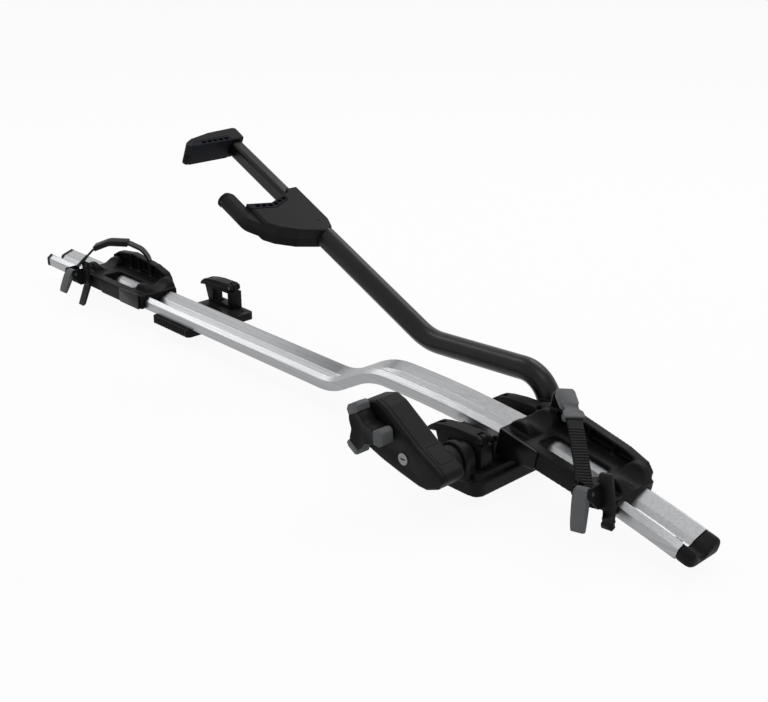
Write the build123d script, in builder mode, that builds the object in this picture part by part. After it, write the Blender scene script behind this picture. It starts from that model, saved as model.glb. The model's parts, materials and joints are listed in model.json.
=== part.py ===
import os
from math import asin, atan2, cos, degrees, hypot, radians, sin

from build123d import *

os.makedirs("parts", exist_ok=True)

# The frame has its origin under the near foot, X along the rail to its near end, Z up.

# Rail: an extrusion with a tyre channel and a bolt groove, bent to a raised shelf and a long arch
rail_length = 1408
rail_near_reach = 290
rail_width = 62
rail_height = 20.7
rail_wall = 2
rail_corner = 1.2
rail_section_shares = [(-0.5, 0), (-0.5, 0.71), (-0.355, 1), (-0.202, 0.4), (-0.074, 0.4),
                       (0.032, 0.68), (0.355, 1), (0.5, 0.71), (0.5, 0)]
groove_mouth = 8
groove_width = 14
groove_height = 4
groove_lip = 2
groove_shift_share = -0.137
shelf_reach = 185
shelf_length = 25
step_radius = 110
step_angle = 29
step_straight = 39.4
arch_radius = 1750
drain_slot_length = 12
drain_slot_width = 6
drain_reach = 11

# Rail end caps
near_cap_length = 22
far_cap_length = 10
cap_corner = 10
cap_nose = 12
plug_depth = 14
plug_width = 6
plug_height = 9

# Near foot
foot_length = 90
foot_front = 91
foot_back = 72
foot_side_height = 20
foot_corner = 14
foot_step_width = 7
foot_step_height = 8
foot_edge = 3
saddle_back = 40
saddle_front = 20
saddle_cheek = 4
saddle_lap = 6
pivot_x = 8
pivot_z = 44
axle_radius = 6.3
axle_running_gap = 0.05
axle_head_radius = 9
axle_head_length = 4
bush_wall = 2.7
disc_radius = 24
disc_overhang = 7
disc_depth = 9
front_tower_depth = 24
front_tower_radius = 18
back_tower_depth = 11
back_tower_radius = 14
back_tower_gap = 1.5
pad_depth = 3
pad_margin = 9
part_gap = 0.5

# Crossbar clamps
clamp_depth = 20
clamp_length = 80
clamp_height = 30
clamp_wall = 4
clamp_block = 14
clamp_post = 13
clamp_shift = 10
clamp_spacing = 120
bolt_radius = 4.5
clamp_front_reach = 31
bolt_back_reach = 14
lever_thickness = 12.6
lever_length = 98
lever_drop = 12
lever_nose = 18
lever_tip_thickness = 2.5
hinge_setback = 8
hinge_tongue = 7
hinge_pin_radius = 2.5
nut_radius = 5.2
nut_length = 18
thumb_slot_width = 7
thumb_slot_length = 15

# Far foot
far_foot_x = -703.5
far_plate_length = 107
far_plate_front = 39
far_plate_back = 98
far_plate_thickness = 12.5
far_plate_corner = 8
far_clamp_end = 19.5
far_strip_width = 9
far_notch_length = 38
far_notch_depth = 14
far_eye_radius = 3
far_eye_inset = 14
serration_pitch = 5
serration_depth = 1.5
rail_slide_gap = 0.5
slide_bolt_radius = 3
slide_head_height = 3
nut_recess = 6
nut_flats = 10
nut_room = 6.2

# Arm
arm_y = 90
hub_radius = 22
hub_depth = 28
hub_neck_radius = 18
hub_neck_height = 30
hub_edge = 3
tube_radius = 16.5
tube_wall = 2
tube_start = 2
elbow_height = 57.1
elbow_radius = 46
reach_back = 226.4
reach_drop = 13.9
sweep_radius = 90
head_angle = 24.7
head_line = 67.8
tube_mouth = 283

# Head with the lower jaw, measured along the arm from the datum that the reach ends at
head_base = 181
head_reach = 113
head_rise = 135
head_half = 17
head_wall = 3
head_edge = 3
head_outline_shares = [(0.159, 0.815), (0.150, 0.178), (0.088, 0.037), (-0.071, 0), (-0.407, 0.096),
                       (-0.655, 0.222), (-0.788, 0.341), (-0.938, 0.511), (-1.0, 0.6), (-1.0, 0.94),
                       (-0.955, 0.99), (-0.9, 1.0), (-0.85, 0.99), (-0.805, 0.94)]
finger_radius = 11.5
finger_share = -0.898
finger_blend = 4
seat_shares = [(-0.805, 0.704), (-0.434, 0.637), (-0.155, 0.72)]
head_mouth_share = (-0.035, 0.756)
head_shoulder_share = 0.815
jaw_pad_thickness = 12
pad_pocket_pitch = 11
pad_pocket_depth = 5
pad_pocket_rib = 3
pocket_start_share = 0.5
screw_radius = 2.5
screw_head_radius = 4.5
screw_head_height = 3
head_screw_shares = [(-0.3, 0.3), (-0.62, 0.41)]

# Sliding bar and upper jaw
bar_width = 22
bar_depth = 25
bar_corner = 6
bar_wall = 2.5
bar_start = 150
bar_end = 456
bar_slide_gap = 0.5
jaw_base = 430
jaw_reach = 96
jaw_rise = 31
jaw_half = 18
jaw_outline_shares = [(0.156, 0.03), (0.166, 0.88), (0.12, 1.0), (-0.41, 0.93), (-0.81, 0.68), (-0.94, 0.46),
                      (-1.0, 0.24), (-0.97, 0)]
jaw_pad_start_share = -0.92
jaw_pad_end_share = -0.13
jaw_screw_shares = [(-0.3, 0.62), (-0.6, 0.58)]

# Knob housing
housing_front = 150
housing_back = 108
cover_depth = 8
housing_wall = 3
housing_length = 146
housing_reach = 112
housing_rise = 91
housing_drop = 22
housing_outline_shares = [(0, 0.77), (0.041, 0.923), (0.192, 1.0), (0.301, 0.945), (0.534, 0.703),
                          (0.678, 0.549), (0.89, 0.385), (0.973, 0.308), (1.0, 0.22), (0.938, 0.088),
                          (0.808, 0), (0.712, 0), (0.493, 0.066), (0.281, 0.143), (0.103, 0.231), (0, 0.418)]
housing_rounding = 5
housing_edge = 3
housing_boss_radius = 20
spindle_radius = 6
spindle_boss_wall = 4
spindle_length = 34
knob_x = -77
knob_z = 77
knob_radius = 37
knob_core_radius = 20
knob_lobe_width = 24
knob_depth = 23
knob_gap = 2
knob_tip_share = 0.66
knob_lobe_angles = [119, 3, -120]
knob_rounding = 5
knob_dish = 3
knob_dish_taper = 20
lock_x = -25
lock_z = 51
lock_radius = 8
lock_length = 20
lock_proud = 1
keyway_width = 2
keyway_length = 8
keyway_depth = 4
lid_length = 26
lid_width = 24
lid_depth = 2
lid_share = 0.8

# Wheel holders, measured from their middle along the rail
near_holder_length = 184
far_holder_length = 208
holder_front = 38
holder_back = 36
holder_skin = 3.3
holder_gap = 0.4
holder_edge = 2.5
near_holder_x = 118
far_holder_x = -893
window_front = 22
window_back = 12
window_corner = 6
dome_radius = 18
dome_setback = 21
dome_front = 24
dome_back = 36
tyre_radius = 20
tyre_shift = 6
wing_depth = 13.5
wing_length = 178
wing_wall = 4
wing_back_wall = 5
wing_rounding = 9
wing_shares = [(0.02, 0), (0, 0.24), (0, 0.53), (0.05, 0.74), (0.21, 0.88), (0.42, 0.94), (0.62, 1.0),
               (0.89, 0.87), (1.0, 0.68), (1.0, 0)]
wing_rib_shares = [0.3, 0.52, 0.66]
wing_rib_width = 5
label_length = 62
label_start = 3
label_thickness = 4
label_rise = 27
label_end_rise = 25
label_corner = 3
skirt_length = 62
skirt_proud = 3

# Wheel straps and ratchets
strap_width = 19
strap_thickness = 3.5
strap_cut = 52
rung_pitch = 4
rung_width = 1.6
rung_height = 1
buckle_width = 24
buckle_thickness = 9
ratchet_wall = 3
ratchet_base = 14
ratchet_reach = 30
ratchet_low = 4
ratchet_high = 34
lever_slab_width = 20
lever_play = 0.5
lever_slab_thickness = 8
lever_pin_height = 26
lever_pin_reach = 22
lever_pin_radius = 2.5
lever_head_radius = 7
tail_width = 17
tail_thickness = 5
tail_high = 48

# One long overrun serves every cut that leaves its piece
overrun = 400


# point and heading after a turn in the XZ plane, with the arc's middle
def turned(start, heading, radius, turn):
    side = 1 if turn > 0 else -1
    h = radians(heading)
    points = []
    for angle in (radians(turn) / 2, radians(turn)):
        points.append((start[0] + side * radius * (sin(h + angle) - sin(h)), 0,
                       start[2] + side * radius * (cos(h) - cos(h + angle))))
    return points


# straight step in the XZ plane
def ahead(start, heading, length):
    return (start[0] + length * cos(radians(heading)), 0, start[2] + length * sin(radians(heading)))


rail_base = far_plate_thickness + rail_slide_gap
rail_far_x = rail_near_reach - rail_length
arch_start_x = shelf_length - shelf_reach
step_run = 2 * step_radius * sin(radians(step_angle)) + step_straight * cos(radians(step_angle))
step_rise = 2 * step_radius * (1 - cos(radians(step_angle))) + step_straight * sin(radians(step_angle))
shelf_z = rail_base + step_rise
step_start_x = -shelf_reach - step_run
arch_turn = degrees(asin((rail_near_reach - arch_start_x) / arch_radius))
groove_y = rail_width * groove_shift_share
channel_floor = rail_height * rail_section_shares[3][1]


# height of the rail's underside on the arch
def rail_under(x):
    return shelf_z - arch_radius * (1 - cos(asin((x - arch_start_x) / arch_radius)))


# the rail's outline in its own section plane, larger by a gap where asked
def rail_outline(plane, gap=0):
    with BuildSketch(plane) as outline:
        with BuildLine():
            Polyline([(rail_width * y, rail_height * z) for y, z in rail_section_shares], close=True)
        make_face()
        fillet(outline.vertices(), rail_corner)
        if gap > 0:
            offset(amount=gap)
    return outline.sketch


# the rail's hollow section with the groove in its floor
def rail_section(plane):
    with BuildSketch(plane) as section:
        add(rail_outline(Plane.XY))
        offset(amount=-rail_wall, mode=Mode.SUBTRACT)
        with Locations((groove_y, 0)):
            Rectangle(groove_width + 2 * rail_wall, channel_floor, align=(Align.CENTER, Align.MIN))
            Rectangle(groove_mouth, groove_lip, align=(Align.CENTER, Align.MIN), mode=Mode.SUBTRACT)
        with Locations((groove_y, groove_lip)):
            Rectangle(groove_width, groove_height, align=(Align.CENTER, Align.MIN), mode=Mode.SUBTRACT)
    return section.sketch


rail_start_plane = Plane(origin=(rail_far_x, 0, rail_base), x_dir=(0, 1, 0), z_dir=(1, 0, 0))


# a section carried along the whole rail
def along_rail(section):
    with BuildPart() as run:
        with BuildLine():
            start = (rail_far_x, 0, rail_base)
            foot = (step_start_x, 0, rail_base)
            Line(start, foot)
            up_mid, up_end = turned(foot, 0, step_radius, step_angle)
            ThreePointArc(foot, up_mid, up_end)
            top = ahead(up_end, step_angle, step_straight)
            Line(up_end, top)
            level_mid, level_end = turned(top, step_angle, step_radius, -step_angle)
            ThreePointArc(top, level_mid, level_end)
            shelf_end = ahead(level_end, 0, shelf_length)
            Line(level_end, shelf_end)
            arch_mid, arch_end = turned(shelf_end, 0, arch_radius, -arch_turn)
            ThreePointArc(shelf_end, arch_mid, arch_end)
        sweep(section)
    return run.part


rail_body = along_rail(rail_outline(rail_start_plane))
rail_clearance = along_rail(rail_outline(rail_start_plane, holder_gap))
near_end_heading = radians(arch_turn)
rail_end_plane = Plane(origin=(rail_near_reach, 0, rail_under(rail_near_reach)), x_dir=(0, 1, 0),
                       z_dir=(cos(near_end_heading), 0, -sin(near_end_heading)))

pieces = {}

drain_x = rail_near_reach - drain_reach
plug_shift = rail_width / 2 - rail_wall - part_gap - plug_width / 2
with BuildPart() as rail:
    add(along_rail(rail_section(rail_start_plane)))
    with BuildSketch(Plane.XY.offset(rail_under(drain_x) + groove_lip + groove_height)):
        with Locations((drain_x, groove_y)):
            SlotOverall(drain_slot_length, drain_slot_width)
    extrude(amount=overrun, mode=Mode.SUBTRACT)
pieces["rail"] = rail.part

rail_end_x_dir = (cos(near_end_heading), 0, -sin(near_end_heading))
rail_end_up = (sin(near_end_heading), 0, cos(near_end_heading))
with BuildPart() as cap_room:
    with BuildSketch(Plane(origin=rail_end_plane.origin, x_dir=rail_end_x_dir, z_dir=rail_end_up)):
        RectangleRounded(2 * near_cap_length, rail_width, cap_corner)
    extrude(amount=rail_height)
    with BuildSketch(Plane(origin=rail_end_plane.origin, x_dir=rail_end_x_dir, z_dir=(0, -1, 0))):
        RectangleRounded(2 * near_cap_length, 2 * rail_height, cap_nose)
    extrude(amount=rail_width, both=True, mode=Mode.INTERSECT)
with BuildPart() as near_end_cap:
    extrude(rail_outline(rail_end_plane), amount=near_cap_length)
    add(cap_room.part, mode=Mode.INTERSECT)
    with BuildSketch(rail_end_plane):
        with Locations((-plug_shift, rail_wall + part_gap), (plug_shift, rail_wall + part_gap)):
            Rectangle(plug_width, plug_height, align=(Align.CENTER, Align.MIN))
    extrude(amount=-plug_depth)
pieces["near_end_cap"] = near_end_cap.part

with BuildPart() as far_end_caps:
    extrude(rail_outline(rail_start_plane), amount=-far_cap_length)
    with BuildSketch(rail_start_plane):
        with Locations((groove_y, 0)):
            Rectangle(groove_width, overrun, align=(Align.CENTER, Align.CENTER))
    extrude(amount=-overrun, mode=Mode.SUBTRACT)
    ends = far_end_caps.faces().group_by(Axis.X)[0]
    fillet(ends.edges(), rail_corner)
    with BuildSketch(rail_start_plane):
        with Locations((-plug_shift, rail_wall + part_gap), (plug_shift, rail_wall + part_gap)):
            Rectangle(plug_width, plug_height, align=(Align.CENTER, Align.MIN))
    extrude(amount=plug_depth)
pieces["far_end_caps"] = far_end_caps.part

# near foot: stepped base, saddle under the rail, two bearing towers
platform_z = foot_side_height + foot_step_height
foot_width = foot_front + foot_back
foot_mid_y = (foot_back - foot_front) / 2
tower_front = foot_front + disc_overhang
bush_radius = axle_radius + axle_running_gap + bush_wall
back_tower_y = rail_width / 2 + saddle_cheek + back_tower_gap
front_tower_plane = Plane.XZ.offset(tower_front)
back_tower_plane = Plane.XZ.offset(-back_tower_y)
clamp_sides = (-clamp_spacing / 2, clamp_spacing / 2)

with BuildPart() as foot_base:
    with BuildSketch():
        with Locations((0, foot_mid_y)):
            RectangleRounded(foot_length, foot_width, foot_corner)
    extrude(amount=foot_side_height)
    fillet(foot_base.faces().sort_by(Axis.Z)[-1].edges(), foot_edge)
    with BuildSketch(Plane.XY.offset(foot_side_height)):
        with Locations((0, foot_mid_y)):
            RectangleRounded(foot_length - 2 * foot_step_width, foot_width - 2 * foot_step_width,
                             foot_corner - foot_step_width)
    extrude(amount=foot_step_height)
    with BuildSketch(Plane.XY.offset(platform_z)):
        with Locations(((saddle_front - saddle_back) / 2, 0)):
            Rectangle(saddle_front + saddle_back, rail_width + 2 * saddle_cheek)
    extrude(amount=rail_under(0) + saddle_lap - platform_z)
    add(rail_body, mode=Mode.SUBTRACT)
    with BuildSketch(front_tower_plane):
        with Locations((pivot_x, pivot_z)):
            Circle(disc_radius)
            Rectangle(2 * disc_radius, pivot_z - foot_side_height, align=(Align.CENTER, Align.MAX))
    extrude(amount=-disc_depth)
    with BuildSketch(front_tower_plane):
        with Locations((pivot_x, pivot_z)):
            Circle(front_tower_radius)
            Rectangle(2 * front_tower_radius, pivot_z - foot_side_height, align=(Align.CENTER, Align.MAX))
    extrude(amount=-front_tower_depth)
    with BuildSketch(back_tower_plane):
        with Locations((pivot_x, pivot_z)):
            Circle(back_tower_radius)
            Rectangle(2 * back_tower_radius, pivot_z - foot_side_height, align=(Align.CENTER, Align.MAX))
    extrude(amount=-back_tower_depth)
    with BuildSketch(front_tower_plane):
        with Locations((pivot_x, pivot_z)):
            Circle(bush_radius)
    extrude(amount=-front_tower_depth, mode=Mode.SUBTRACT)
    with BuildSketch(back_tower_plane):
        with Locations((pivot_x, pivot_z)):
            Circle(bush_radius)
    extrude(amount=-back_tower_depth, mode=Mode.SUBTRACT)
    with BuildSketch(Plane.XZ.offset(rail_width / 2 + saddle_cheek)):
        with Locations((pivot_x, pivot_z)):
            Circle(axle_radius + part_gap)
            Rectangle(2 * (axle_radius + part_gap), rail_height, align=(Align.CENTER, Align.MIN))
    extrude(amount=-(rail_width + 2 * saddle_cheek), mode=Mode.SUBTRACT)
    with BuildSketch():
        with Locations((0, foot_mid_y)):
            RectangleRounded(foot_length - 2 * pad_margin, foot_width - 2 * pad_margin, foot_corner / 2)
    extrude(amount=pad_depth, mode=Mode.SUBTRACT)
    with BuildSketch():
        with Locations([(-bolt_back_reach, y) for y in clamp_sides]):
            Circle(bolt_radius)
    extrude(amount=overrun, mode=Mode.SUBTRACT)
pieces["foot_base"] = foot_base.part

with BuildPart() as foot_pad:
    with BuildSketch():
        with Locations((0, foot_mid_y)):
            RectangleRounded(foot_length - 2 * pad_margin, foot_width - 2 * pad_margin, foot_corner / 2)
        with Locations([(-bolt_back_reach, y) for y in clamp_sides]):
            Circle(bolt_radius, mode=Mode.SUBTRACT)
    extrude(amount=pad_depth)
pieces["foot_pad"] = foot_pad.part

with BuildPart() as pivot_bushes:
    for plane, depth in ((front_tower_plane, front_tower_depth), (back_tower_plane, back_tower_depth)):
        with BuildSketch(plane):
            with Locations((pivot_x, pivot_z)):
                Circle(bush_radius)
                Circle(axle_radius + axle_running_gap, mode=Mode.SUBTRACT)
        extrude(amount=-depth)
pieces["pivot_bushes"] = pivot_bushes.part

hinge_rise = clamp_height + part_gap + lever_thickness / 2
hinge_radius = lever_thickness / 2


# crossbar clamp bracket: a frame with a window that the axle can pass, and a hinge tongue
def clamp_bracket(end_x, mid_y, base_z):
    plane = Plane(origin=(end_x, mid_y, base_z), x_dir=(1, 0, 0), z_dir=(0, -1, 0))
    with BuildPart() as bracket:
        with BuildSketch(plane):
            with BuildLine():
                Polyline((0, 0), (0, clamp_height), (-clamp_length, clamp_height),
                         (-clamp_length + clamp_shift, 0), close=True)
            make_face()
            with Locations((-clamp_post, clamp_wall)):
                Rectangle(clamp_length - clamp_post - clamp_block - clamp_shift,
                          clamp_height - 2 * clamp_wall, align=(Align.MAX, Align.MIN), mode=Mode.SUBTRACT)
        extrude(amount=clamp_depth / 2, both=True)
        with BuildSketch(plane):
            with Locations((-hinge_setback, hinge_rise)):
                Circle(hinge_radius)
                Rectangle(2 * hinge_radius, hinge_rise - clamp_height, align=(Align.CENTER, Align.MAX))
        extrude(amount=hinge_tongue / 2, both=True)
        with BuildSketch(plane):
            with Locations((-hinge_setback, hinge_rise)):
                Circle(hinge_pin_radius)
        extrude(amount=clamp_depth, both=True, mode=Mode.SUBTRACT)
        with BuildSketch(Plane.XY.offset(base_z)):
            with Locations((end_x - clamp_front_reach - bolt_back_reach, mid_y)):
                Circle(bolt_radius)
        extrude(amount=clamp_height, mode=Mode.SUBTRACT)
    return bracket.part


# pull lever over the bracket, forked at its hinge, with a slot for the thumb
def clamp_lever(end_x, mid_y, base_z):
    plane = Plane(origin=(end_x, mid_y, base_z), x_dir=(1, 0, 0), z_dir=(0, -1, 0))
    low = clamp_height + part_gap
    high = low + lever_thickness
    nut_x = -clamp_front_reach - bolt_back_reach
    with BuildPart() as lever:
        with BuildSketch(plane):
            with BuildLine():
                Polyline((-hinge_setback, low), (-hinge_setback, high),
                         (-lever_length + lever_nose, high - lever_thickness / 2),
                         (-lever_length, high - lever_thickness / 2 - lever_drop),
                         (-lever_length, high - lever_thickness / 2 - lever_drop - lever_tip_thickness),
                         (-clamp_length - part_gap, low - part_gap), (-clamp_length, low), close=True)
            make_face()
            with Locations((-hinge_setback, hinge_rise)):
                Circle(hinge_radius)
        extrude(amount=clamp_depth / 2, both=True)
        with BuildSketch(plane):
            with Locations((0, 0)):
                Rectangle(2 * (hinge_setback + hinge_radius + part_gap), overrun)
        extrude(amount=hinge_tongue / 2 + part_gap, both=True, mode=Mode.SUBTRACT)
        with BuildSketch(plane):
            with Locations((-hinge_setback, hinge_rise)):
                Circle(hinge_pin_radius + axle_running_gap)
            with Locations((nut_x, low + lever_thickness / 2 - part_gap)):
                Circle(nut_radius)
        extrude(amount=clamp_depth, both=True, mode=Mode.SUBTRACT)
        with BuildSketch(Plane.XY.offset(base_z + low)):
            with Locations((end_x + nut_x, mid_y)):
                SlotOverall(2 * bolt_radius + part_gap + nut_radius, 2 * bolt_radius)
            with Locations((end_x - lever_length + lever_nose + thumb_slot_width, mid_y)):
                SlotOverall(thumb_slot_length, thumb_slot_width)
        extrude(amount=overrun, both=True, mode=Mode.SUBTRACT)
    return lever.part


def clamp_nut(end_x, mid_y, base_z):
    low = clamp_height + part_gap
    nut_x = -clamp_front_reach - bolt_back_reach
    plane = Plane(origin=(end_x, mid_y, base_z), x_dir=(1, 0, 0), z_dir=(0, -1, 0))
    with BuildPart() as nut:
        with BuildSketch(plane):
            with Locations((nut_x, low + lever_thickness / 2 - part_gap)):
                Circle(nut_radius)
        extrude(amount=nut_length / 2, both=True)
        with BuildSketch(Plane.XY.offset(base_z)):
            with Locations((end_x + nut_x, mid_y)):
                Circle(bolt_radius - part_gap)
        extrude(amount=overrun, mode=Mode.SUBTRACT)
    return nut.part


def hinge_pin(end_x, mid_y, base_z):
    with BuildPart() as pin:
        with BuildSketch(Plane(origin=(end_x, mid_y, base_z), x_dir=(1, 0, 0), z_dir=(0, -1, 0))):
            with Locations((-hinge_setback, hinge_rise)):
                Circle(hinge_pin_radius)
        extrude(amount=clamp_depth / 2, both=True)
    return pin.part


front_clamp = (clamp_front_reach, clamp_sides[0], platform_z)
back_clamp = (clamp_front_reach, clamp_sides[1], platform_z)
far_clamp = (far_foot_x + far_clamp_end, far_plate_back - clamp_depth / 2, far_plate_thickness)

with BuildPart() as near_brackets:
    add(clamp_bracket(*front_clamp))
    add(clamp_bracket(*back_clamp))
pieces["near_brackets"] = near_brackets.part

with BuildPart() as near_lever_pins:
    add(hinge_pin(*front_clamp))
    add(hinge_pin(*back_clamp))
pieces["near_lever_pins"] = near_lever_pins.part

pieces["front_clamp_lever"] = clamp_lever(*front_clamp)
pieces["back_clamp_lever"] = clamp_lever(*back_clamp)
pieces["far_clamp_lever"] = clamp_lever(*far_clamp)
pieces["front_clamp_nut"] = clamp_nut(*front_clamp)
pieces["back_clamp_nut"] = clamp_nut(*back_clamp)
pieces["far_clamp_nut"] = clamp_nut(*far_clamp)
pieces["far_bracket"] = clamp_bracket(*far_clamp)
pieces["far_lever_pin"] = hinge_pin(*far_clamp)

# far foot: a plate that slides under the rail, held by a bolt in the groove
far_plate_width = far_plate_front + far_plate_back
far_plate_mid_y = (far_plate_back - far_plate_front) / 2
far_bolt_hole_x = far_clamp[0] - clamp_front_reach - bolt_back_reach
with BuildPart() as far_plate:
    with BuildSketch():
        with Locations((far_foot_x, far_plate_mid_y)):
            RectangleRounded(far_plate_length, far_plate_width, far_plate_corner)
    extrude(amount=far_plate_thickness)
    with BuildSketch():
        for side in (-1, 1):
            with Locations((far_foot_x + side * far_plate_length / 4, -far_plate_front + far_strip_width)):
                Rectangle(far_notch_length, far_notch_depth, align=(Align.CENTER, Align.MIN))
    extrude(amount=far_plate_thickness, mode=Mode.SUBTRACT)
    with BuildSketch():
        ridge_count = int((far_plate_length - 2 * far_plate_corner) / serration_pitch)
        with Locations((far_foot_x, -far_plate_front)):
            with GridLocations(serration_pitch, 0, ridge_count, 1):
                Rectangle(serration_pitch / 2, 2 * serration_depth)
    extrude(amount=far_plate_thickness, mode=Mode.SUBTRACT)
    with BuildSketch():
        with Locations((far_foot_x, groove_y)):
            Circle(slide_bolt_radius)
        with Locations((far_bolt_hole_x, far_clamp[1])):
            Circle(bolt_radius)
        with Locations((far_foot_x + far_plate_length / 2 - far_eye_inset, far_plate_back - far_eye_inset)):
            Circle(far_eye_radius)
    extrude(amount=far_plate_thickness, mode=Mode.SUBTRACT)
    with BuildSketch():
        with Locations((far_foot_x, groove_y)):
            Circle(nut_room)
    extrude(amount=nut_recess, mode=Mode.SUBTRACT)
    with BuildSketch():
        with Locations((far_foot_x, far_plate_mid_y + pad_margin)):
            Rectangle(far_plate_length - 2 * pad_margin, far_plate_width / 3)
    extrude(amount=pad_depth, mode=Mode.SUBTRACT)
pieces["far_plate"] = far_plate.part

with BuildPart() as far_pad:
    with BuildSketch():
        with Locations((far_foot_x, far_plate_mid_y + pad_margin)):
            Rectangle(far_plate_length - 2 * pad_margin, far_plate_width / 3)
    extrude(amount=pad_depth)
pieces["far_pad"] = far_pad.part

slide_head_z = rail_base + groove_lip + (groove_height - slide_head_height) / 2
with BuildPart() as slide_bolt:
    with BuildSketch(Plane.XY.offset(pad_depth / 2)):
        with Locations((far_foot_x, groove_y)):
            Circle(slide_bolt_radius)
    extrude(amount=slide_head_z - pad_depth / 2)
    with BuildSketch(Plane.XY.offset(slide_head_z)):
        with Locations((far_foot_x, groove_y)):
            Rectangle(groove_width, groove_width - 2 * part_gap)
    extrude(amount=slide_head_height)
pieces["slide_bolt"] = slide_bolt.part

with BuildPart() as slide_nut:
    with BuildSketch(Plane.XY.offset(pad_depth / 2)):
        with Locations((far_foot_x, groove_y)):
            RegularPolygon(nut_flats / 2, 6, major_radius=False)
            Circle(slide_bolt_radius, mode=Mode.SUBTRACT)
    extrude(amount=nut_recess - pad_depth / 2)
pieces["slide_nut"] = slide_nut.part

# arm: hub on the axle, bent tube, head
head_x = pivot_x - reach_back
head_z = pivot_z + elbow_height - reach_drop
arm_dir = (-cos(radians(head_angle)), 0, sin(radians(head_angle)))
arm_normal = (sin(radians(head_angle)), 0, cos(radians(head_angle)))
datum = (head_x + head_line * arm_dir[0], arm_y, head_z + head_line * arm_dir[2])


# plane across the arm's straight part: local X across the car, local Y along the arm
def arm_plane(height=0):
    return Plane(origin=tuple(c + height * n for c, n in zip(datum, arm_normal)), x_dir=(0, 1, 0),
                 z_dir=arm_normal)


# plane square to the arm's straight part at a distance from the datum
def arm_section(distance):
    origin = tuple(c + distance * d for c, d in zip(datum, arm_dir))
    return Plane(origin=origin, x_dir=(0, 1, 0), z_dir=arm_dir)


def arm_path():
    end = tuple(c + tube_mouth * d for c, d in zip(datum, arm_dir))
    points = [(pivot_x, arm_y, pivot_z + tube_start), (pivot_x, arm_y, pivot_z + elbow_height),
              (head_x, arm_y, head_z), end]
    with BuildLine() as path:
        FilletPolyline(*points, radius=(elbow_radius, sweep_radius))
    return path.line


def arm_sweep(radius):
    with BuildPart() as run:
        with BuildSketch(Plane.XY.offset(pivot_z + tube_start)) as mouth:
            with Locations((pivot_x, arm_y)):
                Circle(radius)
        sweep(path=arm_path())
    return run.part


arm_solid = arm_sweep(tube_radius)

with BuildPart() as arm_tube:
    add(arm_solid)
    add(arm_sweep(tube_radius - tube_wall), mode=Mode.SUBTRACT)
    with BuildSketch(Plane.XZ.offset(-arm_y)):
        with Locations((pivot_x, pivot_z)):
            Circle(axle_head_radius + part_gap)
    extrude(amount=tube_radius, both=True, mode=Mode.SUBTRACT)
pieces["arm_tube"] = arm_tube.part

hub_front = arm_y - hub_depth / 2
with BuildPart() as arm_hub:
    with BuildSketch(Plane.XZ.offset(-hub_front)):
        with Locations((pivot_x, pivot_z)):
            Circle(hub_radius)
    extrude(amount=-hub_depth)
    fillet(arm_hub.edges().filter_by(GeomType.CIRCLE), hub_edge)
    with BuildSketch(Plane.XY.offset(pivot_z)):
        with Locations((pivot_x, arm_y)):
            Circle(hub_neck_radius)
    extrude(amount=hub_neck_height)
    add(arm_solid, mode=Mode.SUBTRACT)
    with BuildSketch(Plane.XZ.offset(-hub_front)):
        with Locations((pivot_x, pivot_z)):
            Circle(axle_radius)
    extrude(amount=-hub_depth, both=True, mode=Mode.SUBTRACT)
    with BuildSketch(Plane.XZ.offset(-hub_front - hub_depth)):
        with Locations((pivot_x, pivot_z)):
            Circle(axle_head_radius)
    extrude(amount=-hub_depth, mode=Mode.SUBTRACT)
pieces["arm_hub"] = arm_hub.part

axle_end = arm_y + hub_depth / 2
axle_length = housing_front - cover_depth - housing_wall + axle_end
with BuildPart() as arm_axle:
    with BuildSketch(Plane.XZ.offset(-axle_end)):
        with Locations((pivot_x, pivot_z)):
            Circle(axle_radius)
    extrude(amount=axle_length)
    with BuildSketch(Plane.XZ.offset(-axle_end)):
        with Locations((pivot_x, pivot_z)):
            Circle(axle_head_radius)
    extrude(amount=-axle_head_length)
pieces["arm_axle"] = arm_axle.part


# points of an outline given as shares, from the arm's axis and a base along the arm
def outline_points(shares, reach, base, rise):
    return [(reach * y, base + rise * s) for y, s in shares]


seat_points = outline_points(seat_shares, head_reach, head_base, head_rise)
shoulder = head_base + head_rise * head_shoulder_share
head_points = outline_points(head_outline_shares, head_reach, head_base, head_rise)
head_points += [(y, s - jaw_pad_thickness) for y, s in seat_points]
head_mouth = (head_reach * head_mouth_share[0], head_base + head_rise * head_mouth_share[1])
head_points += [seat_points[-1], head_mouth, (head_mouth[0], shoulder)]


def rounded_outline(plane, points, rounding, gap=0):
    with BuildSketch(plane) as outline:
        with BuildLine():
            Polyline(points, close=True)
        make_face()
        fillet(outline.vertices(), rounding)
        if gap < 0:
            offset(amount=gap)
    return outline.sketch


# one half of a hollow moulding, split on the arm's middle plane
def half_shell(points, half, wall, edge, side, screws, bore):
    with BuildPart() as shell:
        extrude(rounded_outline(arm_plane(), points, edge), amount=side * half)
        outer = shell.faces().filter_by(Plane(origin=(0, 0, 0), z_dir=arm_normal)).sort_by(
            Axis(datum, arm_normal))[-1 if side > 0 else 0]
        chamfer(outer.edges(), edge / 2)
        extrude(rounded_outline(arm_plane(), points, edge, -wall), amount=side * (half - wall),
                mode=Mode.SUBTRACT)
        with BuildSketch(arm_plane()):
            with Locations(screws):
                Circle(screw_head_radius + wall / 2)
        extrude(amount=side * (half - wall))
        add(bore)
        extrude(rounded_outline(arm_plane(), points, edge), amount=side * half, mode=Mode.INTERSECT)
    return shell.part


head_screws_at = [(head_reach * y, head_base + head_rise * s) for y, s in head_screw_shares]


def screw_holes(points, half):
    with BuildPart() as holes:
        with BuildSketch(arm_plane(-half)):
            with Locations(points):
                Circle(screw_radius)
        extrude(amount=half + half / 2)
        with BuildSketch(arm_plane(-half)):
            with Locations(points):
                Circle(screw_head_radius)
        extrude(amount=screw_head_height)
    return holes.part


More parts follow.
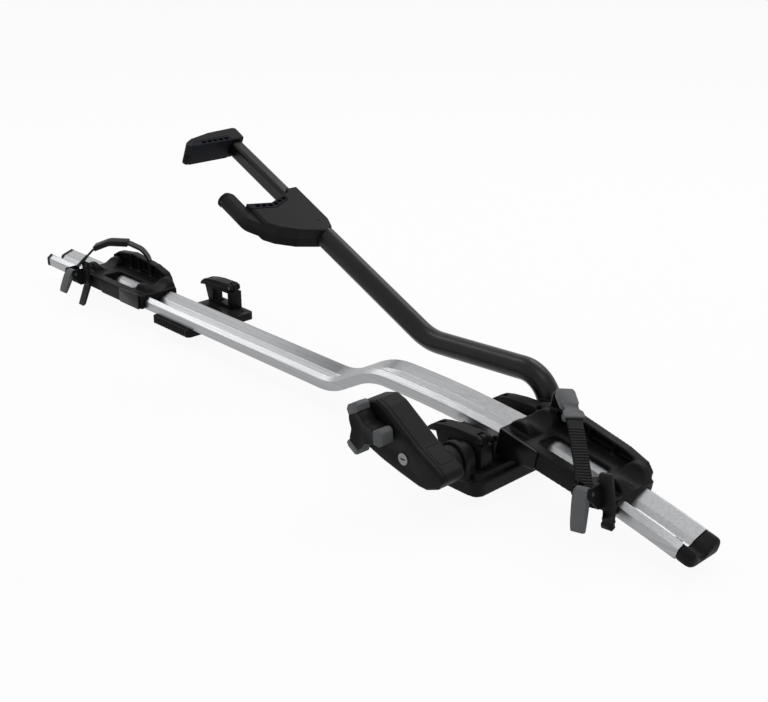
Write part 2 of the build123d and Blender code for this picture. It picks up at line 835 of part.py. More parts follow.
def bar_section(distance, length, gap=0, hollow=False):
    with BuildPart() as bar:
        with BuildSketch(arm_section(distance)):
            RectangleRounded(bar_width + 2 * gap, bar_depth + 2 * gap, bar_corner)
            if hollow:
                RectangleRounded(bar_width - 2 * bar_wall, bar_depth - 2 * bar_wall, bar_corner - bar_wall,
                                 mode=Mode.SUBTRACT)
        extrude(amount=length)
    return bar.part


bar_passage = bar_section(head_base, head_rise, bar_slide_gap)
head_collar_length = shoulder - head_base - head_wall
with BuildPart() as head_collar:
    with BuildSketch(arm_section(head_base + head_wall)):
        Circle(head_half - part_gap)
    extrude(amount=head_collar_length)
    with BuildSketch(arm_plane(-head_half)):
        with Locations((seat_points[0][0] + head_wall, head_base)):
            Rectangle(overrun, head_rise, align=(Align.MAX, Align.MIN))
    extrude(amount=2 * head_half)

# the head's section: flat, then narrowed to the round finger
finger_y = head_reach * finger_share
with BuildPart() as head_room:
    with BuildSketch(arm_section(head_base - head_rise)):
        with BuildLine():
            Polyline((overrun, head_half), (finger_y + finger_radius + finger_blend, head_half),
                     (finger_y + finger_radius, head_half - head_edge),
                     (finger_y + finger_radius, head_edge - head_half),
                     (finger_y + finger_radius + finger_blend, -head_half), (overrun, -head_half), close=True)
        make_face()
        with Locations((finger_y, 0)):
            Circle(finger_radius)
            Rectangle(2 * finger_radius, 2 * finger_radius, align=(Align.MIN, Align.CENTER))
    extrude(amount=2 * head_rise + tube_mouth)


def pad_block(points, half):
    with BuildPart() as block:
        with BuildSketch(arm_plane()):
            with BuildLine():
                Polyline(points, close=True)
            make_face()
        extrude(amount=half, both=True)
    return block.part


# a soft pad with a ladder of pockets in its upper side
def jaw_pad(points, half, pockets):
    with BuildPart() as pad:
        add(pad_block(points, half))
        with BuildSketch(arm_plane(half)):
            with Locations(pockets):
                Rectangle(pad_pocket_pitch - pad_pocket_rib, jaw_pad_thickness - 2 * pad_pocket_rib)
        extrude(amount=-pad_pocket_depth, mode=Mode.SUBTRACT)
    return pad.part


# pocket places at even steps along a line of the pad
def pocket_row(start, end):
    length = hypot(end[0] - start[0], end[1] - start[1])
    count = int(length / pad_pocket_pitch)
    steps = [(index + pocket_start_share) * pad_pocket_pitch / length for index in range(count)]
    return [(start[0] + (end[0] - start[0]) * t, start[1] + (end[1] - start[1]) * t - jaw_pad_thickness / 2)
            for t in steps]


lower_pad_points = seat_points + [(y, s - jaw_pad_thickness) for y, s in reversed(seat_points)]
lower_pockets = pocket_row(seat_points[1], seat_points[0]) + pocket_row(seat_points[1], seat_points[2])
pieces["lower_jaw_pad"] = jaw_pad(lower_pad_points, head_half, lower_pockets)

head_holes = screw_holes(head_screws_at, head_half)
for name, side in (("head_upper_shell", 1), ("head_lower_shell", -1)):
    with BuildPart() as head_shell:
        add(half_shell(head_points, head_half, head_wall, head_edge, side, head_screws_at, head_collar.part))
        add(head_room.part, mode=Mode.INTERSECT)
        add(arm_solid, mode=Mode.SUBTRACT)
        add(bar_passage, mode=Mode.SUBTRACT)
        add(head_holes, mode=Mode.SUBTRACT)
        add(pad_block(lower_pad_points, head_half), mode=Mode.SUBTRACT)
    pieces[name] = head_shell.part


jaw_points = outline_points(jaw_outline_shares, jaw_reach, jaw_base, jaw_rise)
jaw_pad_start = jaw_reach * jaw_pad_start_share
jaw_pad_end = jaw_reach * jaw_pad_end_share
pad_top = jaw_base + jaw_pad_thickness
pad_slant = (jaw_pad_start + jaw_pad_thickness, pad_top)
upper_pad_points = [(jaw_pad_start, jaw_base), (jaw_pad_end, jaw_base), (jaw_pad_end, pad_top), pad_slant]
pieces["upper_jaw_pad"] = jaw_pad(upper_pad_points, jaw_half, pocket_row((jaw_pad_end, pad_top), pad_slant))

jaw_screws_at = [(jaw_reach * y, jaw_base + jaw_rise * s) for y, s in jaw_screw_shares]
jaw_holes = screw_holes(jaw_screws_at, jaw_half)
bar_stub = bar_section(jaw_base, bar_end - jaw_base)
with BuildPart() as jaw_collar:
    with BuildSketch(arm_section(jaw_base)):
        RectangleRounded(bar_width + 2 * head_wall, 2 * jaw_half, bar_corner)
    extrude(amount=bar_end + head_wall - jaw_base)
pad_room = pad_block(upper_pad_points, jaw_half)
for name, side in (("upper_jaw_top_shell", 1), ("upper_jaw_bottom_shell", -1)):
    with BuildPart() as jaw_shell:
        add(half_shell(jaw_points, jaw_half, head_wall, head_edge, side, jaw_screws_at, jaw_collar.part))
        add(bar_stub, mode=Mode.SUBTRACT)
        add(pad_room, mode=Mode.SUBTRACT)
        add(jaw_holes, mode=Mode.SUBTRACT)
    pieces[name] = jaw_shell.part

pieces["inner_bar"] = bar_section(bar_start, bar_end - bar_start, hollow=True)


def shell_screws(points, half):
    with BuildPart() as screws:
        with BuildSketch(arm_plane(screw_head_height - half)):
            with Locations(points):
                Circle(screw_radius)
        extrude(amount=half + half / 2 - screw_head_height)
        with BuildSketch(arm_plane(screw_head_height - half)):
            with Locations(points):
                Circle(screw_head_radius)
        extrude(amount=part_gap - screw_head_height)
    return screws.part


pieces["head_screws"] = shell_screws(head_screws_at, head_half)
pieces["jaw_screws"] = shell_screws(jaw_screws_at, jaw_half)

# knob housing: a hollow main shell, a front cover, a lid near the pivot
housing_x = pivot_x - housing_reach
housing_z = pivot_z - housing_drop
housing_points = [(housing_x + housing_length * x, housing_z + housing_rise * z)
                  for x, z in housing_outline_shares]
split_y = housing_front - cover_depth


def housing_outline(depth, gap=0):
    return rounded_outline(Plane.XZ.offset(depth), housing_points, housing_rounding, gap)


lid_at = (housing_x + housing_length * lid_share, 0)
with BuildPart() as lid_room:
    with BuildSketch(Plane.XY.offset(pivot_z)):
        with Locations((lid_at[0], -(split_y + housing_back) / 2)):
            RectangleRounded(lid_length, lid_width, lid_depth)
    extrude(amount=overrun)
with BuildPart() as housing_skin:
    extrude(housing_outline(housing_back), amount=split_y - housing_back)
    extrude(housing_outline(housing_back, -lid_depth), amount=split_y - housing_back, mode=Mode.SUBTRACT)
with BuildPart() as housing_lid:
    add(lid_room.part)
    add(housing_skin.part, mode=Mode.INTERSECT)
pieces["housing_lid"] = housing_lid.part

with BuildPart() as housing_main:
    extrude(housing_outline(housing_back), amount=split_y - housing_back)
    chamfer(housing_main.faces().sort_by(Axis.Y)[-1].edges(), housing_edge)
    extrude(housing_outline(housing_back + housing_wall, -housing_wall - lid_depth),
            amount=overrun, mode=Mode.SUBTRACT)
    with BuildSketch(Plane.XZ.offset(tower_front + part_gap)):
        with Locations((pivot_x, pivot_z)):
            Circle(housing_boss_radius)
    extrude(amount=split_y - housing_wall - tower_front - part_gap)
    with BuildSketch(Plane.XZ.offset(housing_back)):
        with Locations((knob_x, knob_z)):
            Circle(spindle_radius + spindle_boss_wall)
        with Locations((lock_x, lock_z)):
            Circle(lock_radius + housing_wall)
    extrude(amount=split_y - housing_back)
    extrude(housing_outline(0), amount=overrun, mode=Mode.INTERSECT)
    with BuildSketch(Plane.XZ.offset(tower_front + part_gap)):
        with Locations((pivot_x, pivot_z)):
            Circle(housing_boss_radius)
    extrude(amount=housing_back - tower_front)
    add(housing_lid.part, mode=Mode.SUBTRACT)
    with BuildSketch(Plane.XZ):
        with Locations((pivot_x, pivot_z)):
            Circle(axle_radius)
    extrude(amount=housing_front - cover_depth - housing_wall, mode=Mode.SUBTRACT)
    with BuildSketch(Plane.XZ.offset(housing_front + knob_gap - spindle_length)):
        with Locations((knob_x, knob_z)):
            Circle(spindle_radius + axle_running_gap)
    extrude(amount=overrun, mode=Mode.SUBTRACT)
    with BuildSketch(Plane.XZ.offset(housing_front + lock_proud - lock_length)):
        with Locations((lock_x, lock_z)):
            Circle(lock_radius + axle_running_gap)
    extrude(amount=overrun, mode=Mode.SUBTRACT)
pieces["housing_main"] = housing_main.part

with BuildPart() as housing_cover:
    extrude(housing_outline(split_y), amount=cover_depth)
    chamfer(housing_cover.faces().sort_by(Axis.Y)[0].edges(), housing_edge)
    with BuildSketch(Plane.XZ.offset(split_y)):
        with Locations((knob_x, knob_z)):
            Circle(spindle_radius + axle_running_gap)
        with Locations((lock_x, lock_z)):
            Circle(lock_radius + axle_running_gap)
    extrude(amount=cover_depth, mode=Mode.SUBTRACT)
pieces["housing_cover"] = housing_cover.part

# knob on its spindle
with BuildPart() as spindle:
    with BuildSketch(Plane.XZ.offset(housing_front + knob_gap)):
        with Locations((knob_x, knob_z)):
            Circle(spindle_radius)
    extrude(amount=-(spindle_length - axle_running_gap))
    with BuildSketch(Plane.XZ.offset(housing_front + knob_gap)):
        with Locations((knob_x, knob_z)):
            Circle(spindle_radius)
    extrude(amount=knob_depth / 2)
pieces["spindle"] = spindle.part


def knob_blank():
    with BuildPart() as blank:
        with BuildSketch(Plane.XZ.offset(housing_front + knob_gap)) as star:
            with Locations((knob_x, knob_z)):
                Circle(knob_core_radius)
            for angle in knob_lobe_angles:
                with Locations(Location((knob_x, knob_z), angle)):
                    Rectangle(knob_radius, knob_lobe_width, align=(Align.MIN, Align.CENTER))
            fillet(star.vertices(), knob_rounding)
        extrude(amount=knob_depth)
        fillet(blank.faces().sort_by(Axis.Y)[0].edges(), knob_rounding / 2)
    return blank.part


knob_solid = knob_blank()
knob_tip_radius = knob_radius * knob_tip_share
with BuildPart() as knob_core:
    add(knob_solid)
    with BuildSketch(Plane.XZ.offset(housing_front + knob_gap)):
        with Locations((knob_x, knob_z)):
            Circle(knob_tip_radius)
    extrude(amount=knob_depth, mode=Mode.INTERSECT)
    with BuildSketch(Plane.XZ.offset(housing_front + knob_gap)):
        with Locations((knob_x, knob_z)):
            Circle(spindle_radius)
    extrude(amount=knob_depth / 2, mode=Mode.SUBTRACT)
    with BuildSketch(Plane.XZ.offset(housing_front + knob_gap + knob_depth)):
        with Locations((knob_x, knob_z)):
            Circle(knob_core_radius - knob_dish)
    extrude(amount=-knob_dish, taper=knob_dish_taper, mode=Mode.SUBTRACT)
pieces["knob_core"] = knob_core.part

with BuildPart() as knob_tips:
    add(knob_solid)
    with BuildSketch(Plane.XZ.offset(housing_front + knob_gap)):
        with Locations((knob_x, knob_z)):
            Circle(knob_tip_radius)
    extrude(amount=knob_depth, mode=Mode.SUBTRACT)
pieces["knob_tips"] = knob_tips.part

with BuildPart() as lock_cylinder:
    with BuildSketch(Plane.XZ.offset(housing_front + lock_proud)):
        with Locations((lock_x, lock_z)):
            Circle(lock_radius)
    extrude(amount=-(lock_length - axle_running_gap))
    with BuildSketch(Plane.XZ.offset(housing_front + lock_proud)):
        with Locations((lock_x, lock_z)):
            SlotOverall(keyway_length, keyway_width)
    extrude(amount=-keyway_depth, mode=Mode.SUBTRACT)
pieces["lock_cylinder"] = lock_cylinder.part

# wheel holders, built about their own middle on the rail's underside
holder_top = rail_height + holder_skin
near_tilt = asin((near_holder_x - arch_start_x) / arch_radius)
near_holder_plane = Plane(origin=(near_holder_x, 0, rail_under(near_holder_x)),
                          x_dir=(cos(near_tilt), 0, -sin(near_tilt)),
                          z_dir=(sin(near_tilt), 0, cos(near_tilt)))

# per holder: half length, window, wing, strap ends and profile, buckle span, lever and tail places
near_strap = {"half": near_holder_length / 2, "window": (2.5, 89),
              "wing_end": 81, "wing_side": -1, "wing_rise": 46,
              "anchor": (-70, 45), "ratchet": (56, -52), "lever": 60, "lever_drop": 46, "lean": 15,
              "tilt": 20, "tail_side": 1, "tail_low": -19, "drop": 12, "bend": 14, "buckle": (2, 4),
              "profile": [(0, 26), (0, 58), (12, 69), (72, 65), (158, 27)]}
far_strap = {"half": far_holder_length / 2, "window": (-5, 96),
             "wing_end": -74, "wing_side": 1, "wing_rise": 54,
             "anchor": (-8, 45), "ratchet": (83, -50), "lever": 88, "lever_drop": 38, "lean": 25,
             "tilt": 0, "tail_side": -1, "tail_low": -30, "drop": 0, "bend": 26, "buckle": (3, 6),
             "profile": [(0, 33), (0, 52), (12, 70), (36, 82), (70, 83.5), (97, 73), (132, 37)]}


def wing_outline(strap, gap=0):
    points = [(strap["wing_end"] + strap["wing_side"] * wing_length * u, strap["wing_rise"] * h)
              for u, h in wing_shares]
    return rounded_outline(Plane.XZ.offset(-holder_back), points, wing_rounding / 3, gap)


def strap_plane(strap):
    run = (strap["ratchet"][0] - strap["anchor"][0], strap["ratchet"][1] - strap["anchor"][1])
    length = hypot(*run)
    return Plane(origin=(*strap["anchor"], 0), x_dir=(run[0] / length, run[1] / length, 0),
                 z_dir=(run[1] / length, -run[0] / length, 0))


def strap_band(strap, thickness, width, first=0, last=None):
    with BuildPart() as band:
        with BuildSketch(strap_plane(strap)):
            with BuildLine():
                points = strap["profile"][first:last]
                if len(points) > 2:
                    FilletPolyline(*points, radius=strap["bend"])
                else:
                    Line(*points)
            trace(line_width=thickness)
        extrude(amount=width / 2, both=True)
    return band.part


def holder_cradle(strap):
    half = strap["half"]
    window_middle, window_length = strap["window"]
    rib_xs = [strap["wing_end"] + strap["wing_side"] * wing_length * share for share in wing_rib_shares]
    with BuildPart() as wing_pocket:
        with BuildSketch(Plane.XZ.offset(-holder_back)):
            add(wing_outline(strap, -wing_wall))
            Rectangle(overrun, 2 * (rail_height + wing_wall), mode=Mode.SUBTRACT)
            with Locations([(x, rail_height) for x in rib_xs]):
                Rectangle(wing_rib_width, strap["wing_rise"], align=(Align.CENTER, Align.MIN),
                          mode=Mode.SUBTRACT)
        extrude(amount=-(wing_depth - wing_back_wall))
    with BuildPart() as cradle:
        with BuildSketch():
            with Locations((0, (holder_back - holder_front) / 2)):
                Rectangle(2 * half, holder_front + holder_back)
        extrude(amount=holder_top)
        fillet(cradle.faces().sort_by(Axis.Z)[-1].edges().filter_by(Axis.X), holder_edge)
        for middle in (dome_setback - half, half - dome_setback):
            with BuildSketch(Plane.XZ.offset(dome_front)):
                with Locations((middle, rail_height)):
                    Circle(dome_radius)
            extrude(amount=-(dome_front + dome_back))
        with BuildSketch(Plane.YZ.offset(-half)):
            with Locations((tyre_shift, holder_top + tyre_radius)):
                Circle(tyre_radius)
        extrude(amount=2 * half, mode=Mode.SUBTRACT)
        with BuildSketch():
            Rectangle(overrun, overrun)
        extrude(amount=-overrun, mode=Mode.SUBTRACT)
        with BuildSketch(Plane.XY.offset(holder_top)):
            with Locations((window_middle, (window_back - window_front) / 2)):
                RectangleRounded(window_length, window_back + window_front, window_corner)
        extrude(amount=-holder_top, mode=Mode.SUBTRACT)
        extrude(wing_outline(strap), amount=-wing_depth)
        add(wing_pocket.part, mode=Mode.SUBTRACT)
        with BuildSketch(Plane.XZ.offset(holder_front)):
            with Locations((label_start + label_length - half, 0)):
                Rectangle(skirt_length, rail_height * rail_section_shares[1][1] + holder_skin,
                          align=(Align.MIN, Align.MIN))
        extrude(amount=skirt_proud)
        with BuildSketch(Plane.XZ.offset(holder_front)):
            with Locations((strap["lever"], ratchet_low)):
                Rectangle(lever_slab_width, holder_top - ratchet_low, align=(Align.CENTER, Align.MIN))
        extrude(amount=-holder_edge)
    return cradle.part


def label_plate(strap):
    start = label_start - strap["half"]
    with BuildPart() as plate:
        with BuildSketch(Plane.XZ.offset(holder_front)) as face:
            with BuildLine():
                Polyline((start, -strap["drop"]), (start + label_length, 0),
                         (start + label_length, label_end_rise), (start + label_thickness, label_rise),
                         (start, label_rise), close=True)
            make_face()
            fillet(face.vertices(), label_corner)
        extrude(amount=label_thickness)
    return plate.part


# a ratchet piece rolled about the lever's pin, as the strap pulls it
def rolled(shape, strap):
    pin_at = (strap["lever"], 0, lever_pin_height)
    return shape.rotate(Axis(pin_at, (0, 1, 0)), -strap["tilt"])


def ratchet_frame(strap):
    outer = lever_slab_width / 2 + lever_play + ratchet_wall
    with BuildPart() as frame:
        with BuildSketch(Plane.XY.offset(ratchet_low)):
            with Locations((strap["lever"], -holder_front)):
                Rectangle(2 * outer, ratchet_base, align=(Align.CENTER, Align.MAX))
        extrude(amount=holder_top - ratchet_low - lever_head_radius)
        with BuildSketch(Plane.YZ.offset(strap["lever"])) as cheek:
            with BuildLine():
                Polyline((-holder_front, ratchet_low), (-holder_front, ratchet_high),
                         (-holder_front - ratchet_reach + ratchet_wall, ratchet_high),
                         (-holder_front - ratchet_reach, lever_pin_height),
                         (-holder_front - ratchet_reach + ratchet_wall, lever_pin_height - lever_head_radius),
                         (-holder_front - ratchet_base, ratchet_low), close=True)
            make_face()
        extrude(amount=outer, both=True)
        with BuildSketch(Plane.YZ.offset(strap["lever"])):
            with Locations((-holder_front, holder_top - lever_head_radius)):
                Rectangle(ratchet_reach, overrun, align=(Align.MAX, Align.MIN))
            with Locations((-holder_front - ratchet_base, holder_top)):
                Rectangle(ratchet_reach, overrun, align=(Align.MAX, Align.CENTER))
        extrude(amount=lever_slab_width / 2 + lever_play, both=True, mode=Mode.SUBTRACT)
        with BuildSketch(Plane.YZ.offset(strap["lever"])):
            with Locations((-holder_front - lever_pin_reach, lever_pin_height)):
                Circle(lever_pin_radius)
        extrude(amount=outer, both=True, mode=Mode.SUBTRACT)
    return rolled(frame.part, strap)


def ratchet_pin(strap):
    with BuildPart() as pin:
        with BuildSketch(Plane.YZ.offset(strap["lever"])):
            with Locations((-holder_front - lever_pin_reach, lever_pin_height)):
                Circle(lever_pin_radius)
        extrude(amount=lever_slab_width / 2 + lever_play + ratchet_wall, both=True)
    return rolled(pin.part, strap)


def ratchet_lever(strap):
    pin_y = -holder_front - lever_pin_reach
    outside = pin_y - lever_head_radius - lever_slab_thickness / 4
    with BuildPart() as lever:
        with BuildSketch(Plane.YZ.offset(strap["lever"])):
            with BuildLine():
                Polyline((pin_y, lever_pin_height + lever_head_radius),
                         (outside + lever_slab_thickness / 4, lever_pin_height + lever_head_radius / 2),
                         (outside, lever_pin_height - lever_head_radius),
                         (outside, lever_pin_height - strap["lever_drop"]),
                         (outside + lever_slab_thickness * 3 / 4, lever_pin_height - strap["lever_drop"]),
                         (outside + lever_slab_thickness, lever_pin_height - lever_head_radius),
                         (pin_y, lever_pin_height - lever_head_radius), close=True)
            make_face()
            with Locations((pin_y, lever_pin_height)):
                Circle(lever_head_radius)
                Circle(lever_pin_radius + axle_running_gap, mode=Mode.SUBTRACT)
        extrude(amount=lever_slab_width / 2, both=True)
    hinge = Axis((strap["lever"], pin_y, lever_pin_height), (1, 0, 0))
    return rolled(lever.part.rotate(hinge, -strap["lean"]), strap)


def strap_tail(strap):
    front = -holder_front - skirt_proud
    low = strap["tail_low"]
    out = (ratchet_low - low) * sin(radians(strap["lean"]))
    reach = lever_slab_width / 2 + lever_play + ratchet_wall + tail_width / 2
    with BuildPart() as tail:
        with BuildSketch(Plane.YZ.offset(strap["lever"] + strap["tail_side"] * reach)):
            with BuildLine():
                Polyline((front, tail_high), (front, ratchet_low),
                         (front - out, low + tail_thickness / 2), (front - out - tail_thickness, low),
                         (front - tail_thickness, ratchet_low), (front - tail_thickness, tail_high),
                         close=True)
            make_face()
        extrude(amount=tail_width / 2, both=True)
    return rolled(tail.part, strap)


def strap_piece(strap):
    plane = strap_plane(strap)
    start, end = strap["profile"][-2], strap["profile"][-1]
    length = hypot(end[0] - start[0], end[1] - start[1])
    slope = degrees(atan2(end[1] - start[1], end[0] - start[0]))
    with BuildPart() as band:
        add(strap_band(strap, strap_thickness, strap_width))
        with BuildSketch(plane):
            for index in range(int((length - strap["bend"]) / rung_pitch)):
                share = 1 - (index + 1) * rung_pitch / length
                with Locations(Location((start[0] + (end[0] - start[0]) * share,
                                         start[1] + (end[1] - start[1]) * share), slope)):
                    Rectangle(rung_width, strap_thickness + 2 * rung_height)
        extrude(amount=strap_width / 2, both=True)
        with BuildSketch():
            with Locations((strap["lever"], -strap_cut)):
                Rectangle(overrun, overrun, align=(Align.CENTER, Align.MAX))
        extrude(amount=overrun, mode=Mode.SUBTRACT)
    return band.part


def strap_buckle(strap):
    with BuildPart() as buckle:
        add(strap_band(strap, buckle_thickness, buckle_width, *strap["buckle"]))
        add(strap_band(strap, strap_thickness, strap_width), mode=Mode.SUBTRACT)
    return buckle.part


def place_near(shape):
    return near_holder_plane.location * shape


def place_far(shape):
    return Location((far_holder_x, 0, rail_base)) * mirror(shape, about=Plane.YZ)


for prefix, strap, place in (("near", near_strap, place_near), ("far", far_strap, place_far)):
    frame_block = ratchet_frame(strap)
    tail = strap_tail(strap)
    with BuildPart() as belt:
        add(strap_piece(strap))
        add(frame_block, mode=Mode.SUBTRACT)
        add(tail, mode=Mode.SUBTRACT)
    buckle = strap_buckle(strap)
    with BuildPart() as cradle:
        add(holder_cradle(strap))
        add(belt.part, mode=Mode.SUBTRACT)
        add(buckle, mode=Mode.SUBTRACT)
    cradle_blank = place(cradle.part)
    with BuildPart() as placed_cradle:
        add(cradle_blank)
        add(rail_clearance, mode=Mode.SUBTRACT)
    pieces[prefix + "_cradle"] = placed_cradle.part
    pieces[prefix + "_label_plate"] = place(label_plate(strap))
    pieces[prefix + "_strap"] = place(belt.part)
    pieces[prefix + "_buckle"] = place(buckle)
    pieces[prefix + "_ratchet_frame"] = place(frame_block)
    pieces[prefix + "_ratchet_pin"] = place(ratchet_pin(strap))
    pieces[prefix + "_ratchet_lever"] = place(ratchet_lever(strap))
    pieces[prefix + "_strap_tail"] = place(tail)

for name, piece in pieces.items():
    piece.label = name
    export_step(piece, f"parts/{name}.step")
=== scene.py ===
import json
import math

import bmesh
import bpy
from mathutils import Matrix, Vector
from mathutils.bvhtree import BVHTree


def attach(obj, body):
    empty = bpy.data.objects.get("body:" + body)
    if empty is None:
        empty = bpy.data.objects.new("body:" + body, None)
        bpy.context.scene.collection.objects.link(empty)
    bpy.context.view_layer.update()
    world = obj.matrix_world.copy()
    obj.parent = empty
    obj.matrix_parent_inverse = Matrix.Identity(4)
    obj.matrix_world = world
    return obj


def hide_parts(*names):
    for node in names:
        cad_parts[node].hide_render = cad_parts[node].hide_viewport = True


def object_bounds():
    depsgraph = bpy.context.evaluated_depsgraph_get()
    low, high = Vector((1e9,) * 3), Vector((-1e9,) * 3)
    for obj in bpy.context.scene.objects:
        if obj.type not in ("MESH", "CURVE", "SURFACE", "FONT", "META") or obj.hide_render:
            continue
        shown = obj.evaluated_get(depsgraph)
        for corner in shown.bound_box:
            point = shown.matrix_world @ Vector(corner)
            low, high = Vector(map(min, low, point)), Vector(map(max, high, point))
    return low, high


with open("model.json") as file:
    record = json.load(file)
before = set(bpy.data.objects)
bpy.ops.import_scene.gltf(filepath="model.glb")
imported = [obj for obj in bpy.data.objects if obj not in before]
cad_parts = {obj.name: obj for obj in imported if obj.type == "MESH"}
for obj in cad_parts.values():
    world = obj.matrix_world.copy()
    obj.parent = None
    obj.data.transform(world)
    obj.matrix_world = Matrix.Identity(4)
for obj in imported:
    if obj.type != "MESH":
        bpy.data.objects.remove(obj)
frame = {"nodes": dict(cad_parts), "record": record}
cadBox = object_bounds()
print("frame loaded")

# camera at the photograph's angle
cameraSetup = {
    "place": (0.9121, -1.0622, 0.7240),
    "azimuth": 46.8,          # degrees, 0 looks along +Y
    "elevation": 22.08,       # degrees above the horizon
    "lens": 56.16,            # mm
    "sensor": 36,             # mm across
    "clip": (0.05, 50),       # m
}


def makeCamera(setup):
    turn, lift = math.radians(setup["azimuth"]), math.radians(setup["elevation"])
    right = Vector((math.cos(turn), math.sin(turn), 0))
    back = Vector((math.sin(turn) * math.cos(lift), -math.cos(turn) * math.cos(lift), math.sin(lift)))
    up = back.cross(right)
    data = bpy.data.cameras.new("photoCamera")
    data.lens, data.sensor_width = setup["lens"], setup["sensor"]
    data.clip_start, data.clip_end = setup["clip"]
    camera = bpy.data.objects.new("photoCamera", data)
    camera.matrix_world = Matrix.Translation(setup["place"]) @ Matrix((right, up, back)).transposed().to_4x4()
    bpy.context.collection.objects.link(camera)
    bpy.context.scene.camera = camera


makeCamera(cameraSetup)


# sRGB hex to linear
def linearColour(code, alpha=1.0):
    channels = [int(code[i:i + 2], 16) / 255 for i in (1, 3, 5)]
    return tuple(c / 12.92 if c <= 0.04045 else ((c + 0.055) / 1.055) ** 2.4 for c in channels) + (alpha,)


# one node with its settings, its values and what feeds it; a colour ramp gets its stops too
def addNode(tree, kind, settings=None, inputs=None, stops=()):
    node = tree.nodes.new(kind)
    for key, value in (settings or {}).items():
        setattr(node, key, value)
    for key, value in (inputs or {}).items():
        if isinstance(value, bpy.types.NodeSocket):
            tree.links.new(value, node.inputs[key])
        else:
            node.inputs[key].default_value = value
    if stops:
        elements = node.color_ramp.elements
        while len(elements) < len(stops):
            elements.new(0.5)
        for element, (position, code) in zip(elements, stops):
            element.position, element.color = position, linearColour(code)
    return node


def newMaterial(name):
    material = bpy.data.materials.new(name)
    material.use_nodes = True
    tree = material.node_tree
    tree.nodes.clear()
    return material, tree


# nearly all values of a noise lie in this span, so it is what spreads over a finish's roughness
noiseSpan = {"From Min": 0.3, "From Max": 0.7}
bevelRays = 6           # samples that round an edge in the shading

# clear anodised aluminium, drawn through a die: fine lines run along the rail and stretch the highlight
railFinish = {
    "base": "#9FA0A2", "streakLight": "#A9AAAC", "streakDark": "#949597",
    "streaks": (0.36, 0.5, 0.64),       # where the noise is dark, plain and light
    "roughness": (0.28, 0.38),
    "dieLine": 0.0011,                  # m between die lines, coarser than the real 0.1 to 1 mm so that they show
    "grain": 0.0006,                    # m, also coarser than the real one
    "runLength": 0.25,                  # m over which a die line stays the same
    "grainLength": 0.1,                 # m over which the grain does
    "relief": 0.06, "reliefDepth": 0.0004,
    "stretch": 0.35,                    # how far the lines pull the highlight across them
    "edge": 0.0009,                     # m, radius that the die leaves on each ridge
}


def makeRailAluminium(finish):
    material, tree = newMaterial("clearAnodisedAluminium")
    place = addNode(tree, "ShaderNodeTexCoord").outputs["Object"]
    along = addNode(tree, "ShaderNodeMapping", inputs={
        "Vector": place, "Scale": (1 / finish["runLength"], 1 / finish["dieLine"], 1 / finish["dieLine"])})
    lines = addNode(tree, "ShaderNodeTexNoise", inputs={
        "Vector": along.outputs["Vector"], "Scale": 1.0, "Detail": 3.0, "Roughness": 0.6})
    fine = addNode(tree, "ShaderNodeMapping", inputs={
        "Vector": place, "Scale": (1 / finish["grainLength"], 1 / finish["grain"], 1 / finish["grain"])})
    grain = addNode(tree, "ShaderNodeTexNoise", inputs={
        "Vector": fine.outputs["Vector"], "Scale": 1.0, "Detail": 2.0, "Roughness": 0.5})
    colour = addNode(tree, "ShaderNodeValToRGB", inputs={"Fac": lines.outputs["Fac"]}, stops=list(zip(
        finish["streaks"], (finish["streakDark"], finish["base"], finish["streakLight"]))))
    low, high = finish["roughness"]
    rough = addNode(tree, "ShaderNodeMapRange", inputs={
        "Value": grain.outputs["Fac"], **noiseSpan, "To Min": low, "To Max": high})
    edge = addNode(tree, "ShaderNodeBevel", {"samples": bevelRays}, {"Radius": finish["edge"]})
    bump = addNode(tree, "ShaderNodeBump", inputs={
        "Height": lines.outputs["Fac"], "Strength": finish["relief"], "Distance": finish["reliefDepth"],
        "Normal": edge.outputs["Normal"]})
    tangent = addNode(tree, "ShaderNodeTangent", {"direction_type": "RADIAL", "axis": "X"})
    shader = addNode(tree, "ShaderNodeBsdfPrincipled", inputs={
        "Base Color": colour.outputs["Color"], "Metallic": 1.0, "Roughness": rough.outputs["Result"],
        "Anisotropic": finish["stretch"], "Normal": bump.outputs["Normal"],
        "Tangent": tangent.outputs["Tangent"]})
    addNode(tree, "ShaderNodeOutputMaterial", inputs={"Surface": shader.outputs["BSDF"]})
    return material


cloudTones = (0.35, 0.65)       # where the slow noise is dark and light
reliefDepth = 0.0003            # m, full height of the small reliefs below


# slow change of tone and gloss over a surface, as its making and handling leave it
def cloudiness(tree, place, finish):
    cloud = addNode(tree, "ShaderNodeTexNoise", inputs={
        "Vector": place, "Scale": 1 / finish["cloud"], "Detail": finish.get("cloudDetail", 4.0),
        "Roughness": finish.get("cloudBreakup", 0.6)})
    colour = addNode(tree, "ShaderNodeValToRGB", inputs={"Fac": cloud.outputs["Fac"]},
                     stops=list(zip(cloudTones, (finish["dark"], finish["light"]))))
    low, high = finish["roughness"]
    rough = addNode(tree, "ShaderNodeMapRange", inputs={
        "Value": cloud.outputs["Fac"], **noiseSpan, "To Min": low, "To Max": high})
    return cloud.outputs["Fac"], colour.outputs["Color"], rough.outputs["Result"]


mouldEdge = 0.0011      # m, the small radius that every moulded edge keeps from its tool


